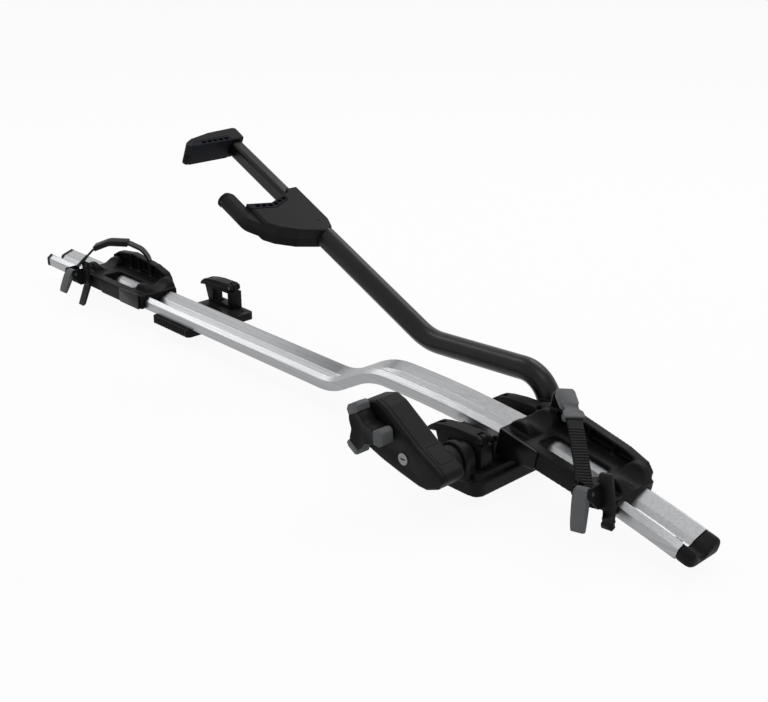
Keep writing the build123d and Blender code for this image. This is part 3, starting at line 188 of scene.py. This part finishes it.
# moulded plastic or rubber: the tool's spark eroded grain in the surface, slightly cloudy from handling
def makeMoulded(name, finish):
    material, tree = newMaterial(name)
    place = addNode(tree, "ShaderNodeTexCoord").outputs["Object"]
    grain = addNode(tree, "ShaderNodeTexNoise", inputs={
        "Vector": place, "Scale": 1 / finish["grain"], "Detail": 2.0, "Roughness": 0.55})
    _, colour, rough = cloudiness(tree, place, finish)
    edge = addNode(tree, "ShaderNodeBevel", {"samples": bevelRays}, {"Radius": mouldEdge})
    bump = addNode(tree, "ShaderNodeBump", inputs={
        "Height": grain.outputs["Fac"], "Strength": finish["relief"], "Distance": reliefDepth,
        "Normal": edge.outputs["Normal"]})
    shader = addNode(tree, "ShaderNodeBsdfPrincipled", inputs={
        "Base Color": colour, "Roughness": rough, "IOR": finish["ior"],
        "Specular IOR Level": finish["specular"], "Normal": bump.outputs["Normal"]})
    addNode(tree, "ShaderNodeOutputMaterial", inputs={"Surface": shader.outputs["BSDF"]})
    return material


# grain and cloud in metres; the real grain of 0.05 to 0.2 mm is too fine to show and is drawn coarser
mouldings = {
    # waxy and nearly black, a soft broad shine
    "black_plastic": ("blackPolypropylene", {
        "dark": "#0F0F10", "light": "#171717", "roughness": (0.4, 0.54),
        "grain": 0.0009, "cloud": 0.03, "relief": 0.25, "ior": 1.45, "specular": 0.1}),
    # the glass fibres make it greyer and duller
    "housing_plastic": ("blackGlassFilledNylon", {
        "dark": "#191919", "light": "#212121", "roughness": (0.46, 0.58),
        "grain": 0.0008, "cloud": 0.04, "relief": 0.2, "ior": 1.45, "specular": 0.1}),
    # dyed through, a plain mid grey with a dry shine
    "grey_plastic": ("greyNylon", {
        "dark": "#535557", "light": "#5D5F61", "roughness": (0.48, 0.58),
        "grain": 0.0008, "cloud": 0.03, "relief": 0.15, "ior": 1.5, "specular": 0.2}),
    # from a polished tool, so it mirrors more than the rest
    "label_plastic": ("glossAbs", {
        "dark": "#080809", "light": "#0D0E0F", "roughness": (0.2, 0.28),
        "grain": 0.0015, "cloud": 0.03, "relief": 0.05, "ior": 1.46, "specular": 0.15}),
    # carbon black rubber with a faint blue bloom, matt
    "pad_rubber": ("mouldedEpdm", {
        "dark": "#0D0E14", "light": "#151720", "roughness": (0.6, 0.75),
        "grain": 0.0007, "cloud": 0.02, "relief": 0.3, "ior": 1.45, "specular": 0.15}),
    # smoother and a little oily
    "strap_rubber": ("mouldedPolyurethane", {
        "dark": "#0C0C0D", "light": "#151617", "roughness": (0.4, 0.52),
        "grain": 0.0008, "cloud": 0.02, "relief": 0.2, "ior": 1.45, "specular": 0.2}),
}

# powder coated steel tube: the orange peel of the coat softens a long highlight
coatFinish = {
    "dark": "#0A0A0B", "light": "#101011", "roughness": (0.24, 0.32),
    "peel": 0.005,          # m, real peel of 1 to 3 mm is drawn coarser so that it shows
    "relief": 0.05,
    "cloud": 0.04, "cloudDetail": 3.0, "cloudBreakup": 0.5,
    "ior": 1.5, "specular": 0.22,
}


def makeArmCoat(finish):
    material, tree = newMaterial("powderCoatedSteel")
    place = addNode(tree, "ShaderNodeTexCoord").outputs["Object"]
    peel = addNode(tree, "ShaderNodeTexNoise", inputs={
        "Vector": place, "Scale": 1 / finish["peel"], "Detail": 1.0, "Roughness": 0.5})
    _, colour, rough = cloudiness(tree, place, finish)
    bump = addNode(tree, "ShaderNodeBump", inputs={
        "Height": peel.outputs["Fac"], "Strength": finish["relief"], "Distance": reliefDepth})
    shader = addNode(tree, "ShaderNodeBsdfPrincipled", inputs={
        "Base Color": colour, "Roughness": rough, "IOR": finish["ior"],
        "Specular IOR Level": finish["specular"], "Normal": bump.outputs["Normal"]})
    addNode(tree, "ShaderNodeOutputMaterial", inputs={"Surface": shader.outputs["BSDF"]})
    return material


# plated or cast metal: a slightly cloudy surface that blurs what it mirrors
def makeCloudyMetal(name, finish):
    material, tree = newMaterial(name)
    place = addNode(tree, "ShaderNodeTexCoord").outputs["Object"]
    cloud, colour, rough = cloudiness(tree, place, finish)
    bump = addNode(tree, "ShaderNodeBump", inputs={
        "Height": cloud, "Strength": finish["relief"], "Distance": reliefDepth})
    shader = addNode(tree, "ShaderNodeBsdfPrincipled", inputs={
        "Base Color": colour, "Metallic": 1.0, "Roughness": rough, "Normal": bump.outputs["Normal"]})
    addNode(tree, "ShaderNodeOutputMaterial", inputs={"Surface": shader.outputs["BSDF"]})
    return material


metals = {
    # turned and plated: bluish grey, fairly bright
    "bolt_steel": ("zincPlatedSteel", {
        "dark": "#5E6164", "light": "#74777A", "roughness": (0.34, 0.46), "cloud": 0.004, "relief": 0.05}),
    # die cast and tumbled: paler and duller
    "lock_metal": ("castZinc", {
        "dark": "#77797B", "light": "#8C8E90", "roughness": (0.42, 0.55), "cloud": 0.003, "relief": 0.05}),
}

finishes = {"rail_aluminium": makeRailAluminium(railFinish), "arm_paint": makeArmCoat(coatFinish)}
for makeFinish, group in ((makeMoulded, mouldings), (makeCloudyMetal, metals)):
    for slotName, (materialName, finish) in group.items():
        finishes[slotName] = makeFinish(materialName, finish)
print("materials made:", len(finishes))

# CAD pieces take the finish of their slot in the record
slotOf = {row["node"]: row["material_slot"] for row in frame["record"]["subparts"]}
for nodeName, node in frame["nodes"].items():
    node.data.materials.clear()
    node.data.materials.append(finishes[slotOf[nodeName]])
print("cad pieces dressed:", len(frame["nodes"]))

bodyOf = {node: body for body, nodes in frame["record"]["behaviour"]["bodies"].items() for node in nodes}
sharpFrom = 32          # degrees between two faces from which their edge is drawn sharp
nowhereSharp = 180


# a finished bmesh as an object of the scene
def asObject(shape, name):
    mesh = bpy.data.meshes.new(name)
    shape.to_mesh(mesh)
    shape.free()
    body = bpy.data.objects.new(name, mesh)
    bpy.context.collection.objects.link(body)
    return body


# a piece that rides a body, and stands for a CAD node where one is named
def addPiece(shape, name, slot, body, replaced=None, sharp=sharpFrom):
    piece = asObject(shape, name)
    piece.data.materials.append(finishes[slot])
    piece.data.shade_smooth()
    piece.data.set_sharp_from_angle(angle=math.radians(sharp))
    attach(piece, body)
    if replaced:
        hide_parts(replaced)


# a piece in place of a CAD node, with the node's own slot and body
def standIn(shape, prefix, nodeName, sharp=sharpFrom):
    addPiece(shape, prefix + nodeName, slotOf[nodeName], bodyOf[nodeName], nodeName, sharp)


# a merged copy of a CAD node's mesh, its flat faces whole again; metres and degrees
def mergedCopy(nodeName, samePoint=2e-6, flatWithin=0.6):
    shape = bmesh.new()
    shape.from_mesh(frame["nodes"][nodeName].data)
    bmesh.ops.remove_doubles(shape, verts=shape.verts, dist=samePoint)
    bmesh.ops.dissolve_limit(shape, angle_limit=math.radians(flatWithin), verts=shape.verts, edges=shape.edges,
                             use_dissolve_boundaries=False)
    return shape


# bevels every edge that is sharper than an angle in degrees
def roundEdges(shape, width, segments=3, sharp=28):
    edges = [e for e in shape.edges if len(e.link_faces) == 2 and e.calc_face_angle(0) > math.radians(sharp)]
    bmesh.ops.bevel(shape, geom=edges, offset=width, offset_type="OFFSET", segments=segments, profile=0.5,
                    affect="EDGES", material=-1, clamp_overlap=True)


# draws a face out and returns the new one at the end; a face on its own stays behind and closes the shape
def drawOut(shape, face):
    alone = all(edge.is_boundary for edge in face.edges)
    drawn = bmesh.ops.extrude_face_region(shape, geom=[face])["geom"]
    if not alone:
        bmesh.ops.delete(shape, geom=[face], context="FACES_ONLY")
    return next(part for part in drawn if isinstance(part, bmesh.types.BMFace))


# mouldings whose edges are rounded over; the widths are in metres
roundedMouldings = {
    "far_end_caps": 0.0014, "far_plate": 0.0014, "far_bracket": 0.001, "near_brackets": 0.001,
    "lower_jaw_pad": 0.001, "upper_jaw_pad": 0.0016, "housing_cover": 0.0012,
    "near_label_plate": 0.001, "far_label_plate": 0.001, "far_buckle": 0.0013,
}
for nodeName, width in roundedMouldings.items():
    shape = mergedCopy(nodeName)
    roundEdges(shape, width)
    standIn(shape, "rounded_", nodeName)
print("mouldings rounded:", len(roundedMouldings))

# hollow mouldings: remade in small cells and smoothed, so every edge gets its moulding radius
softMouldings = {          # cell in metres, rounds of smoothing
    "near_end_cap": (0.0012, 40), "foot_base": (0.0013, 6), "arm_hub": (0.001, 4),
    "housing_main": (0.0013, 5),
    "upper_jaw_top_shell": (0.0009, 7), "upper_jaw_bottom_shell": (0.0009, 7),
    "near_cradle": (0.0013, 6), "far_cradle": (0.0014, 6),
    "near_ratchet_frame": (0.0008, 3), "far_ratchet_frame": (0.0008, 3),
}


# the shape that an object has after its modifiers; the object and its helpers go
def afterModifiers(body, helpers=()):
    done = bpy.data.meshes.new_from_object(body.evaluated_get(bpy.context.evaluated_depsgraph_get()))
    shape = bmesh.new()
    shape.from_mesh(done)
    bpy.data.meshes.remove(done)
    for used in (body, *helpers):
        mesh = used.data
        bpy.data.objects.remove(used)
        bpy.data.meshes.remove(mesh)
    return shape


def softCopy(nodeName, cell, rounds, strength=0.5):
    body = asObject(mergedCopy(nodeName), "roughShape")
    remesh = body.modifiers.new("cells", "REMESH")
    remesh.mode, remesh.voxel_size = "VOXEL", cell
    smooth = body.modifiers.new("radius", "SMOOTH")
    smooth.factor, smooth.iterations = strength, rounds
    return afterModifiers(body)


for nodeName, (cell, rounds) in softMouldings.items():
    standIn(softCopy(nodeName, cell, rounds), "soft_", nodeName, nowhereSharp)
print("hollow mouldings softened:", len(softMouldings))

# strap pieces that narrow and swell along their length: share of the length, width and thickness there
leverSwell = [(0, 0.84, 0.9), (0.14, 1, 1), (0.5, 1.03, 1), (0.8, 0.98, 1), (0.93, 0.93, 0.9), (1, 0.84, 0.74)]
strapForms = {
    "near_buckle": {
        "from": (0.0702, 0.0375, 0.119), "to": (0.1165, 0.0009, 0.1068), "across": (0.601, 0.793, -0.1),
        "edge": 0.0012,
        "form": [(0, 0.86, 0.8), (0.1, 1.04, 1), (0.5, 1, 1), (0.62, 0.8, 0.86), (0.72, 0.78, 0.84),
                 (0.8, 1.1, 1.05), (0.94, 1.14, 1.08), (1, 1.08, 0.9)]},
    "near_ratchet_lever": {
        "from": (0.1775, -0.06, 0.062), "to": (0.188, -0.075, 0.0092), "across": (0.98, 0, 0.19),
        "edge": 0.0022, "form": leverSwell},
    "far_ratchet_lever": {
        "from": (-0.981, -0.06, 0.0455), "to": (-0.981, -0.08, 0.006), "across": (1, 0, 0),
        "edge": 0.0022, "form": leverSwell},
    "near_strap_tail": {
        "from": (0.203, -0.0465, 0.08), "to": (0.207, -0.0465, 0.013), "across": (0.98, 0, 0.19),
        "edge": 0.0009,
        "form": [(0, 0.9, 0.9), (0.06, 1, 1), (0.8, 1, 1), (0.84, 1.08, 1.3), (0.88, 1, 1),
                 (0.92, 1.06, 1.5), (0.98, 1, 1.3), (1, 0.86, 0.8)]},
}


def shapeAlong(nodeName, setup):
    shape = mergedCopy(nodeName)
    start, end = Vector(setup["from"]), Vector(setup["to"])
    run = end - start
    along, across = run.normalized(), Vector(setup["across"]).normalized()
    through = along.cross(across).normalized()
    stations = setup["form"]
    for share, _, _ in stations[1:-1]:
        bmesh.ops.bisect_plane(shape, geom=shape.verts[:] + shape.edges[:] + shape.faces[:], dist=1e-6,
                               plane_co=start + run * share, plane_no=along)
    for vert in shape.verts:
        share = min(max((vert.co - start).dot(along) / run.length, 0), 1)
        after = next(i for i, station in enumerate(stations) if station[0] >= share or i == len(stations) - 1)
        low, high = stations[max(after - 1, 0)], stations[after]
        mix = (share - low[0]) / (high[0] - low[0]) if high[0] > low[0] else 0
        wide = low[1] + (high[1] - low[1]) * mix
        thick = low[2] + (high[2] - low[2]) * mix
        offLine = vert.co - (start + run * share)
        vert.co += across * offLine.dot(across) * (wide - 1) + through * offLine.dot(through) * (thick - 1)
    roundEdges(shape, setup["edge"], sharp=24)
    return shape


for nodeName, setup in strapForms.items():
    standIn(shapeAlong(nodeName, setup), "formed_", nodeName)
print("strap pieces formed:", len(strapForms))

# line of the arm's tube, which the small details of its head are placed from
armLine = {
    "start": Vector((-0.28, 0.09, 0.11553)),
    "along": Vector((-0.9085, 0, 0.4179)),
    "up": Vector((0.4179, 0, 0.9085)),
}


def onArm(along, aside, up):
    return armLine["start"] + armLine["along"] * along + Vector((0, aside, 0)) + armLine["up"] * up


# a closed ring turned about an axis, its outer edges cut by a share of its wall
def turnedRing(middle, axis, inner, outer, length, steps=40, cut=0.35):
    shape = bmesh.new()
    side = axis.orthogonal().normalized()
    corner = (outer - inner) * cut
    profile = [(inner, 0), (outer - corner, 0), (outer, corner), (outer, length - corner),
               (outer - corner, length), (inner, length)]
    verts = [shape.verts.new(middle + side * reach + axis * height) for reach, height in profile]
    edges = [shape.edges.new((verts[i - 1], verts[i])) for i in range(len(verts))]
    bmesh.ops.spin(shape, geom=verts + edges, cent=middle, axis=axis, angle=2 * math.pi, steps=steps, use_merge=True)
    bmesh.ops.remove_doubles(shape, verts=shape.verts, dist=1e-6)
    bmesh.ops.recalc_face_normals(shape, faces=shape.faces)
    return shape


# lip round the end of the fixed finger; that end is found on the head's two shells
fingerRing = {
    "aside": -0.1015,       # m from the arm's line to the finger's middle
    "inside": 0.0058,       # m before the finger's end
    "length": 0.0045,
    "thick": 0.0011,        # m in and out of the shells' surface
}


def fingerEndRing(setup):
    points = [vert.co - armLine["start"] for half in ("head_upper_shell", "head_lower_shell")
              for vert in frame["nodes"][half].data.vertices]
    ringAlong = max(point.dot(armLine["along"]) for point in points) - setup["inside"]
    heights = [point.dot(armLine["up"]) for point in points if point.dot(armLine["along"]) > ringAlong]
    radius = (max(heights) - min(heights)) / 2
    middle = onArm(ringAlong, setup["aside"], (min(heights) + max(heights)) / 2)
    return turnedRing(middle, armLine["along"].normalized(), radius - setup["thick"], radius + setup["thick"],
                      setup["length"])


addPiece(fingerEndRing(fingerRing), "finger_end_ring", "black_plastic", "arm")

# small plug half sunk in the head's top face, which a ray from above finds
headPlug = {
    "along": 0.2075, "aside": 0.0003,       # m from the start of the arm's line
    "from": 0.2,                            # m above that line, where the ray starts
    "inner": 0.0009, "outer": 0.0024, "length": 0.0008,
}


def headTopPlug(setup):
    shell = frame["nodes"]["head_upper_shell"].data
    top = BVHTree.FromPolygons([vert.co for vert in shell.vertices], [face.vertices for face in shell.polygons])
    place = top.ray_cast(onArm(setup["along"], setup["aside"], setup["from"]), -armLine["up"])[0]
    return turnedRing(place - armLine["up"] * setup["length"] / 2, armLine["up"].normalized(), setup["inner"],
                      setup["outer"], setup["length"])


addPiece(headTopPlug(headPlug), "head_plug", "label_plastic", "arm")

# sleeves of the far caps, one round each side of the rail: outline of the cap's end face, grown and drawn along
capSleeve = {
    "grow": 0.0013, "proud": 0.0006, "length": 0.0085, "edge": 0.0009,
    "flat": 0.0002,         # m within which a face still lies at the cap's end
    "smallest": 5e-5,       # square metres, least area of an end face
    "steepest": 0.5,        # least cosine at a corner, so that a sharp one doesn't shoot out
}


# the outline of a face that looks along X, grown outwards in its plane
def grownOutline(face, setup):
    outline, middle = [vert.co for vert in face.verts], face.calc_center_median()
    for step, point in enumerate(outline):
        before, after = outline[step - 1], outline[(step + 1) % len(outline)]
        sides = [Vector((0, way.z, -way.y)).normalized() for way in (point - before, after - point)]
        out = (sides[0] + sides[1]).normalized()
        reach = setup["grow"] / max(out.dot(sides[0]), setup["steepest"])
        yield point + out * (reach if out.dot(point - middle) > 0 else -reach)


def farCapSleeves(setup):
    shape = bmesh.new()
    caps = mergedCopy("far_end_caps")
    outermost = min(vert.co.x for vert in caps.verts)
    for face in caps.faces:
        if face.calc_center_median().x < outermost + setup["flat"] and face.calc_area() > setup["smallest"]:
            front = shape.faces.new([shape.verts.new(point) for point in grownOutline(face, setup)])
            bmesh.ops.translate(shape, verts=front.verts, vec=(-setup["proud"], 0, 0))
            back = drawOut(shape, front)
            bmesh.ops.translate(shape, verts=back.verts, vec=(setup["proud"] + setup["length"], 0, 0))
    caps.free()
    bmesh.ops.recalc_face_normals(shape, faces=shape.faces)
    roundEdges(shape, setup["edge"], sharp=30)
    return shape


addPiece(farCapSleeves(capSleeve), "far_cap_sleeves", "black_plastic", "base")
print("small details added")

# knob: a three lobed star with a dished front, its lobes ended by grey tips; metres from the knob's middle
knobForm = {
    "middle": (-0.077, 0.077),          # x and z of its axis
    "angles": (119, 3, -120),           # degrees, one for each lobe
    "valley": 0.0165, "lobe": 0.013, "sharpness": 1.1,
    "points": 96,
    "rings": [(0.3, -0.1717), (0.65, -0.1729), (0.9, -0.1744), (0.965, -0.1746), (0.99, -0.174), (1, -0.1728),
              (1, -0.1545), (0.985, -0.153), (0.95, -0.1522)],      # size and y, from the front to the back
    "dish": 0.0003,                     # how far the middle of the front lies behind its first ring
    "tipStart": 0.0244,                 # where the star is cut and the tips begin
    "tipOutline": [(0.0244, 0.0092), (0.0325, 0.0115), (0.0372, 0.0074), (0.0372, -0.0074), (0.0325, -0.0115),
                   (0.0244, -0.0092)],
    "tipFront": (-0.1752, -0.1722), "tipBack": -0.1525,     # y, front at the tip's foot and at its end
    "tipEdge": 0.0011,
}


def knobStar(setup):
    shape = bmesh.new()
    lobeAngle = math.radians(setup["angles"][1])
    bmesh.ops.create_circle(shape, cap_ends=True, segments=setup["points"], radius=1)
    for vert in shape.verts:
        angle = math.atan2(vert.co.y, vert.co.x)
        wave = (0.5 + 0.5 * math.cos(3 * (angle - lobeAngle))) ** setup["sharpness"]
        reach = setup["valley"] + setup["lobe"] * wave
        vert.co = (reach * math.cos(angle), 0, reach * math.sin(angle))
    front = back = shape.faces[:][0]
    sizeBefore, depthBefore = 1, 0
    for step, (size, depth) in enumerate(setup["rings"]):
        if step:
            back = drawOut(shape, back)
        bmesh.ops.scale(shape, verts=back.verts, vec=(size / sizeBefore, 1, size / sizeBefore))
        bmesh.ops.translate(shape, verts=back.verts, vec=(0, depth - depthBefore, 0))
        sizeBefore, depthBefore = size, depth
    bmesh.ops.poke(shape, faces=[back], center_mode="MEAN")
    dished = bmesh.ops.poke(shape, faces=[front], center_mode="MEAN")["verts"]
    bmesh.ops.translate(shape, verts=dished, vec=(0, setup["dish"], 0))
    for degrees in setup["angles"]:
        way = Vector((math.cos(math.radians(degrees)), 0, math.sin(math.radians(degrees))))
        cut = bmesh.ops.bisect_plane(shape, geom=shape.verts[:] + shape.edges[:] + shape.faces[:], dist=1e-7,
                                     plane_co=way * setup["tipStart"], plane_no=way, clear_outer=True)
        rim = [edge for edge in cut["geom_cut"] if isinstance(edge, bmesh.types.BMEdge)]
        bmesh.ops.holes_fill(shape, edges=rim, sides=0)
    bmesh.ops.translate(shape, verts=shape.verts, vec=(setup["middle"][0], 0, setup["middle"][1]))
    bmesh.ops.recalc_face_normals(shape, faces=shape.faces)
    return shape


def knobTips(setup):
    shape = bmesh.new()
    start, end = setup["tipOutline"][0][0], max(along for along, _ in setup["tipOutline"])
    atFoot, atEnd = setup["tipFront"]
    for degrees in setup["angles"]:
        back = shape.faces.new([shape.verts.new((along, setup["tipBack"], aside))
                                for along, aside in setup["tipOutline"]])
        front = drawOut(shape, back)
        for vert in front.verts:
            vert.co.y = atFoot + (atEnd - atFoot) * (vert.co.x - start) / (end - start)
        tip = back.verts[:] + front.verts[:]
        bmesh.ops.rotate(shape, verts=tip, matrix=Matrix.Rotation(-math.radians(degrees), 3, "Y"))
        bmesh.ops.translate(shape, verts=tip, vec=(setup["middle"][0], 0, setup["middle"][1]))
    bmesh.ops.recalc_face_normals(shape, faces=shape.faces)
    roundEdges(shape, setup["tipEdge"])
    return shape


addPiece(knobStar(knobForm), "knob_star", slotOf["knob_core"], "knob", "knob_core")
addPiece(knobTips(knobForm), "knob_star_tips", slotOf["knob_tips"], "knob", "knob_tips")
print("knob made")

# clamp levers: a smooth wedge with an oval for the thumb; metres from the lever's hinge end and underside
leverForm = {
    "places": {"front_clamp_lever": (0.031, -0.06, 0.0585), "back_clamp_lever": (0.031, 0.06, 0.0585),
               "far_clamp_lever": (-0.684, 0.088, 0.043)},
    "stations": [(-0.098, -0.0058, -0.0078, 0.006), (-0.0955, -0.003, -0.0074, 0.0082),
                 (-0.09, 0.0013, -0.0062, 0.0094), (-0.082, 0.006, -0.0044, 0.01), (-0.068, 0.0092, -0.0015, 0.01),
                 (-0.045, 0.012, -0.0002, 0.01), (-0.01, 0.0128, 0, 0.01), (-0.0035, 0.0108, 0.0014, 0.01),
                 (-0.0017, 0.0085, 0.0041, 0.01)],      # along, top, bottom and half width
    "edge": 0.0022,
    "thumb": (-0.077, 0.0075, 0.0042),       # place along, half length and half width of the oval
    "fork": (-0.0147, 0.0052),               # how far the fork reaches and its half width
    "pin": (-0.008, 0.0063, 0.0024),         # place along, height and radius of the pin's hole
    "cutDepth": 0.06,                        # length of the cutters, longer than the lever is wide or thick
}


# takes the shapes of the cutters out of a shape
def carve(shape, cutters):
    body = asObject(shape, "whole")
    helpers = [asObject(cutter, "cutter") for cutter in cutters]
    for helper in helpers:
        cut = body.modifiers.new("cut", "BOOLEAN")
        cut.operation, cut.solver, cut.object = "DIFFERENCE", "EXACT", helper
    return afterModifiers(body, helpers)


def leverWedge(place, setup):
    shape = bmesh.new()
    along, top, bottom, half = setup["stations"][0]
    section = shape.faces.new([shape.verts.new((along, side * half, height))
                               for side, height in ((-1, bottom), (1, bottom), (1, top), (-1, top))])
    for along, top, bottom, half in setup["stations"][1:]:
        section = drawOut(shape, section)
        middle = section.calc_center_median()
        for vert in section.verts:
            vert.co = (along, math.copysign(half, vert.co.y), top if vert.co.z > middle.z else bottom)
    bmesh.ops.recalc_face_normals(shape, faces=shape.faces)
    roundEdges(shape, setup["edge"], segments=4, sharp=40)
    thumbAt, longHalf, wideHalf = setup["thumb"]
    oval = bmesh.new()
    bmesh.ops.create_cone(oval, cap_ends=True, segments=40, radius1=1, radius2=1, depth=setup["cutDepth"])
    bmesh.ops.scale(oval, verts=oval.verts, vec=(longHalf, wideHalf, 1))
    bmesh.ops.translate(oval, verts=oval.verts, vec=(thumbAt, 0, 0))
    forkEnd, forkHalf = setup["fork"]
    fork = bmesh.new()
    bmesh.ops.create_cube(fork, size=1)
    bmesh.ops.scale(fork, verts=fork.verts, vec=(-2 * forkEnd, 2 * forkHalf, setup["cutDepth"]))
    pinAt, pinRise, pinRadius = setup["pin"]
    bore = bmesh.new()
    bmesh.ops.create_cone(bore, cap_ends=True, segments=32, radius1=pinRadius, radius2=pinRadius,
                          depth=setup["cutDepth"])
    bmesh.ops.rotate(bore, verts=bore.verts, matrix=Matrix.Rotation(math.radians(90), 3, "X"))
    bmesh.ops.translate(bore, verts=bore.verts, vec=(pinAt, 0, pinRise))
    for part in (shape, oval, fork, bore):
        bmesh.ops.translate(part, verts=part.verts, vec=place)
    return carve(shape, [oval, fork, bore])


for nodeName, place in leverForm["places"].items():
    standIn(leverWedge(place, leverForm), "wedge_", nodeName)
print("clamp levers made:", len(leverForm["places"]))

# pale floor, white background and soft lamps
studio = {
    "floorSize": 60.0,
    "floorDrop": 0.004,                     # m below the lowest piece
    "floorColour": "#F4F4F4",
    "floorGlow": 0.93,                      # share of plain white where the floor is seen, the rest keeps the shadow
    "skyBright": 0.56, "skyDim": 0.2,       # soft light on the object, from above the front and from low behind
    "skyHeading": (0, -0.3, 0.954),         # towards the bright part
    "skySpan": (-0.2, 0.95),                # cosines to that heading between which it brightens
    "lamps": {                              # place, target, size in metres, watts
        "keyLamp": ((-2.4, -0.28, 2.1), (-0.5, 0, 0.05), (0.56, 2.4), 13.5),
        "topLamp": ((0.9, -0.5, 2.4), (0, 0, 0.05), (1.4, 1.2), 9.0),
        "rimLamp": ((-0.4, 1.9, 2.2), (-0.2, 0, 0.1), (1.8, 1.0), 21.0),
    },
}


# 1 for the rays that show the background: from the camera, off a gloss and through glass
def backgroundRays(tree):
    path = addNode(tree, "ShaderNodeLightPath")
    seen = path.outputs["Is Camera Ray"]
    for other in ("Is Glossy Ray", "Is Transmission Ray"):
        seen = addNode(tree, "ShaderNodeMath", {"operation": "MAXIMUM"}, {
            0: seen, 1: path.outputs[other]}).outputs["Value"]
    return seen


def makeFloor(setup):
    shape = bmesh.new()
    bmesh.ops.create_grid(shape, x_segments=1, y_segments=1, size=setup["floorSize"] / 2)
    bmesh.ops.translate(shape, verts=shape.verts, vec=(0, 0, cadBox[0][2] - setup["floorDrop"]))
    floor = asObject(shape, "studioFloor")
    material, tree = newMaterial("mattFloor")
    diffuse = addNode(tree, "ShaderNodeBsdfDiffuse", inputs={"Color": linearColour(setup["floorColour"])})
    glow = addNode(tree, "ShaderNodeEmission", inputs={"Color": (1, 1, 1, 1), "Strength": 1.0})
    share = addNode(tree, "ShaderNodeMath", {"operation": "MULTIPLY"}, {
        0: backgroundRays(tree), 1: setup["floorGlow"]})
    mix = addNode(tree, "ShaderNodeMixShader", inputs={
        "Fac": share.outputs["Value"], 1: diffuse.outputs["BSDF"], 2: glow.outputs["Emission"]})
    addNode(tree, "ShaderNodeOutputMaterial", inputs={"Surface": mix.outputs["Shader"]})
    floor.data.materials.append(material)


def makeWorld(setup):
    world = bpy.data.worlds.new("whiteStudio")
    bpy.context.scene.world = world
    world.use_nodes = True
    tree = world.node_tree
    tree.nodes.clear()
    low, high = setup["skySpan"]
    facing = addNode(tree, "ShaderNodeVectorMath", {"operation": "DOT_PRODUCT"}, {
        0: addNode(tree, "ShaderNodeTexCoord").outputs["Generated"], 1: setup["skyHeading"]})
    dimmed = addNode(tree, "ShaderNodeMapRange", {"interpolation_type": "SMOOTHSTEP"}, {
        "Value": facing.outputs["Value"], "From Min": low, "From Max": high,
        "To Min": setup["skyDim"], "To Max": setup["skyBright"]})
    soft = addNode(tree, "ShaderNodeBackground", inputs={
        "Color": (1, 1, 1, 1), "Strength": dimmed.outputs["Result"]})
    white = addNode(tree, "ShaderNodeBackground", inputs={"Color": (1, 1, 1, 1), "Strength": 1.0})
    mix = addNode(tree, "ShaderNodeMixShader", inputs={
        "Fac": backgroundRays(tree), 1: soft.outputs["Background"], 2: white.outputs["Background"]})
    addNode(tree, "ShaderNodeOutputWorld", inputs={"Surface": mix.outputs["Shader"]})


def addLamp(name, place, target, size, power):
    data = bpy.data.lights.new(name, "AREA")
    data.shape, data.size, data.size_y, data.energy = "RECTANGLE", size[0], size[1], power
    lamp = bpy.data.objects.new(name, data)
    lamp.location = place
    lamp.rotation_euler = (Vector(target) - Vector(place)).to_track_quat("-Z", "Y").to_euler()
    bpy.context.collection.objects.link(lamp)


makeFloor(studio)
makeWorld(studio)
for lampName, (place, target, size, power) in studio["lamps"].items():
    addLamp(lampName, place, target, size, power)
bpy.context.scene.view_settings.view_transform = "Standard"
print("studio lit")
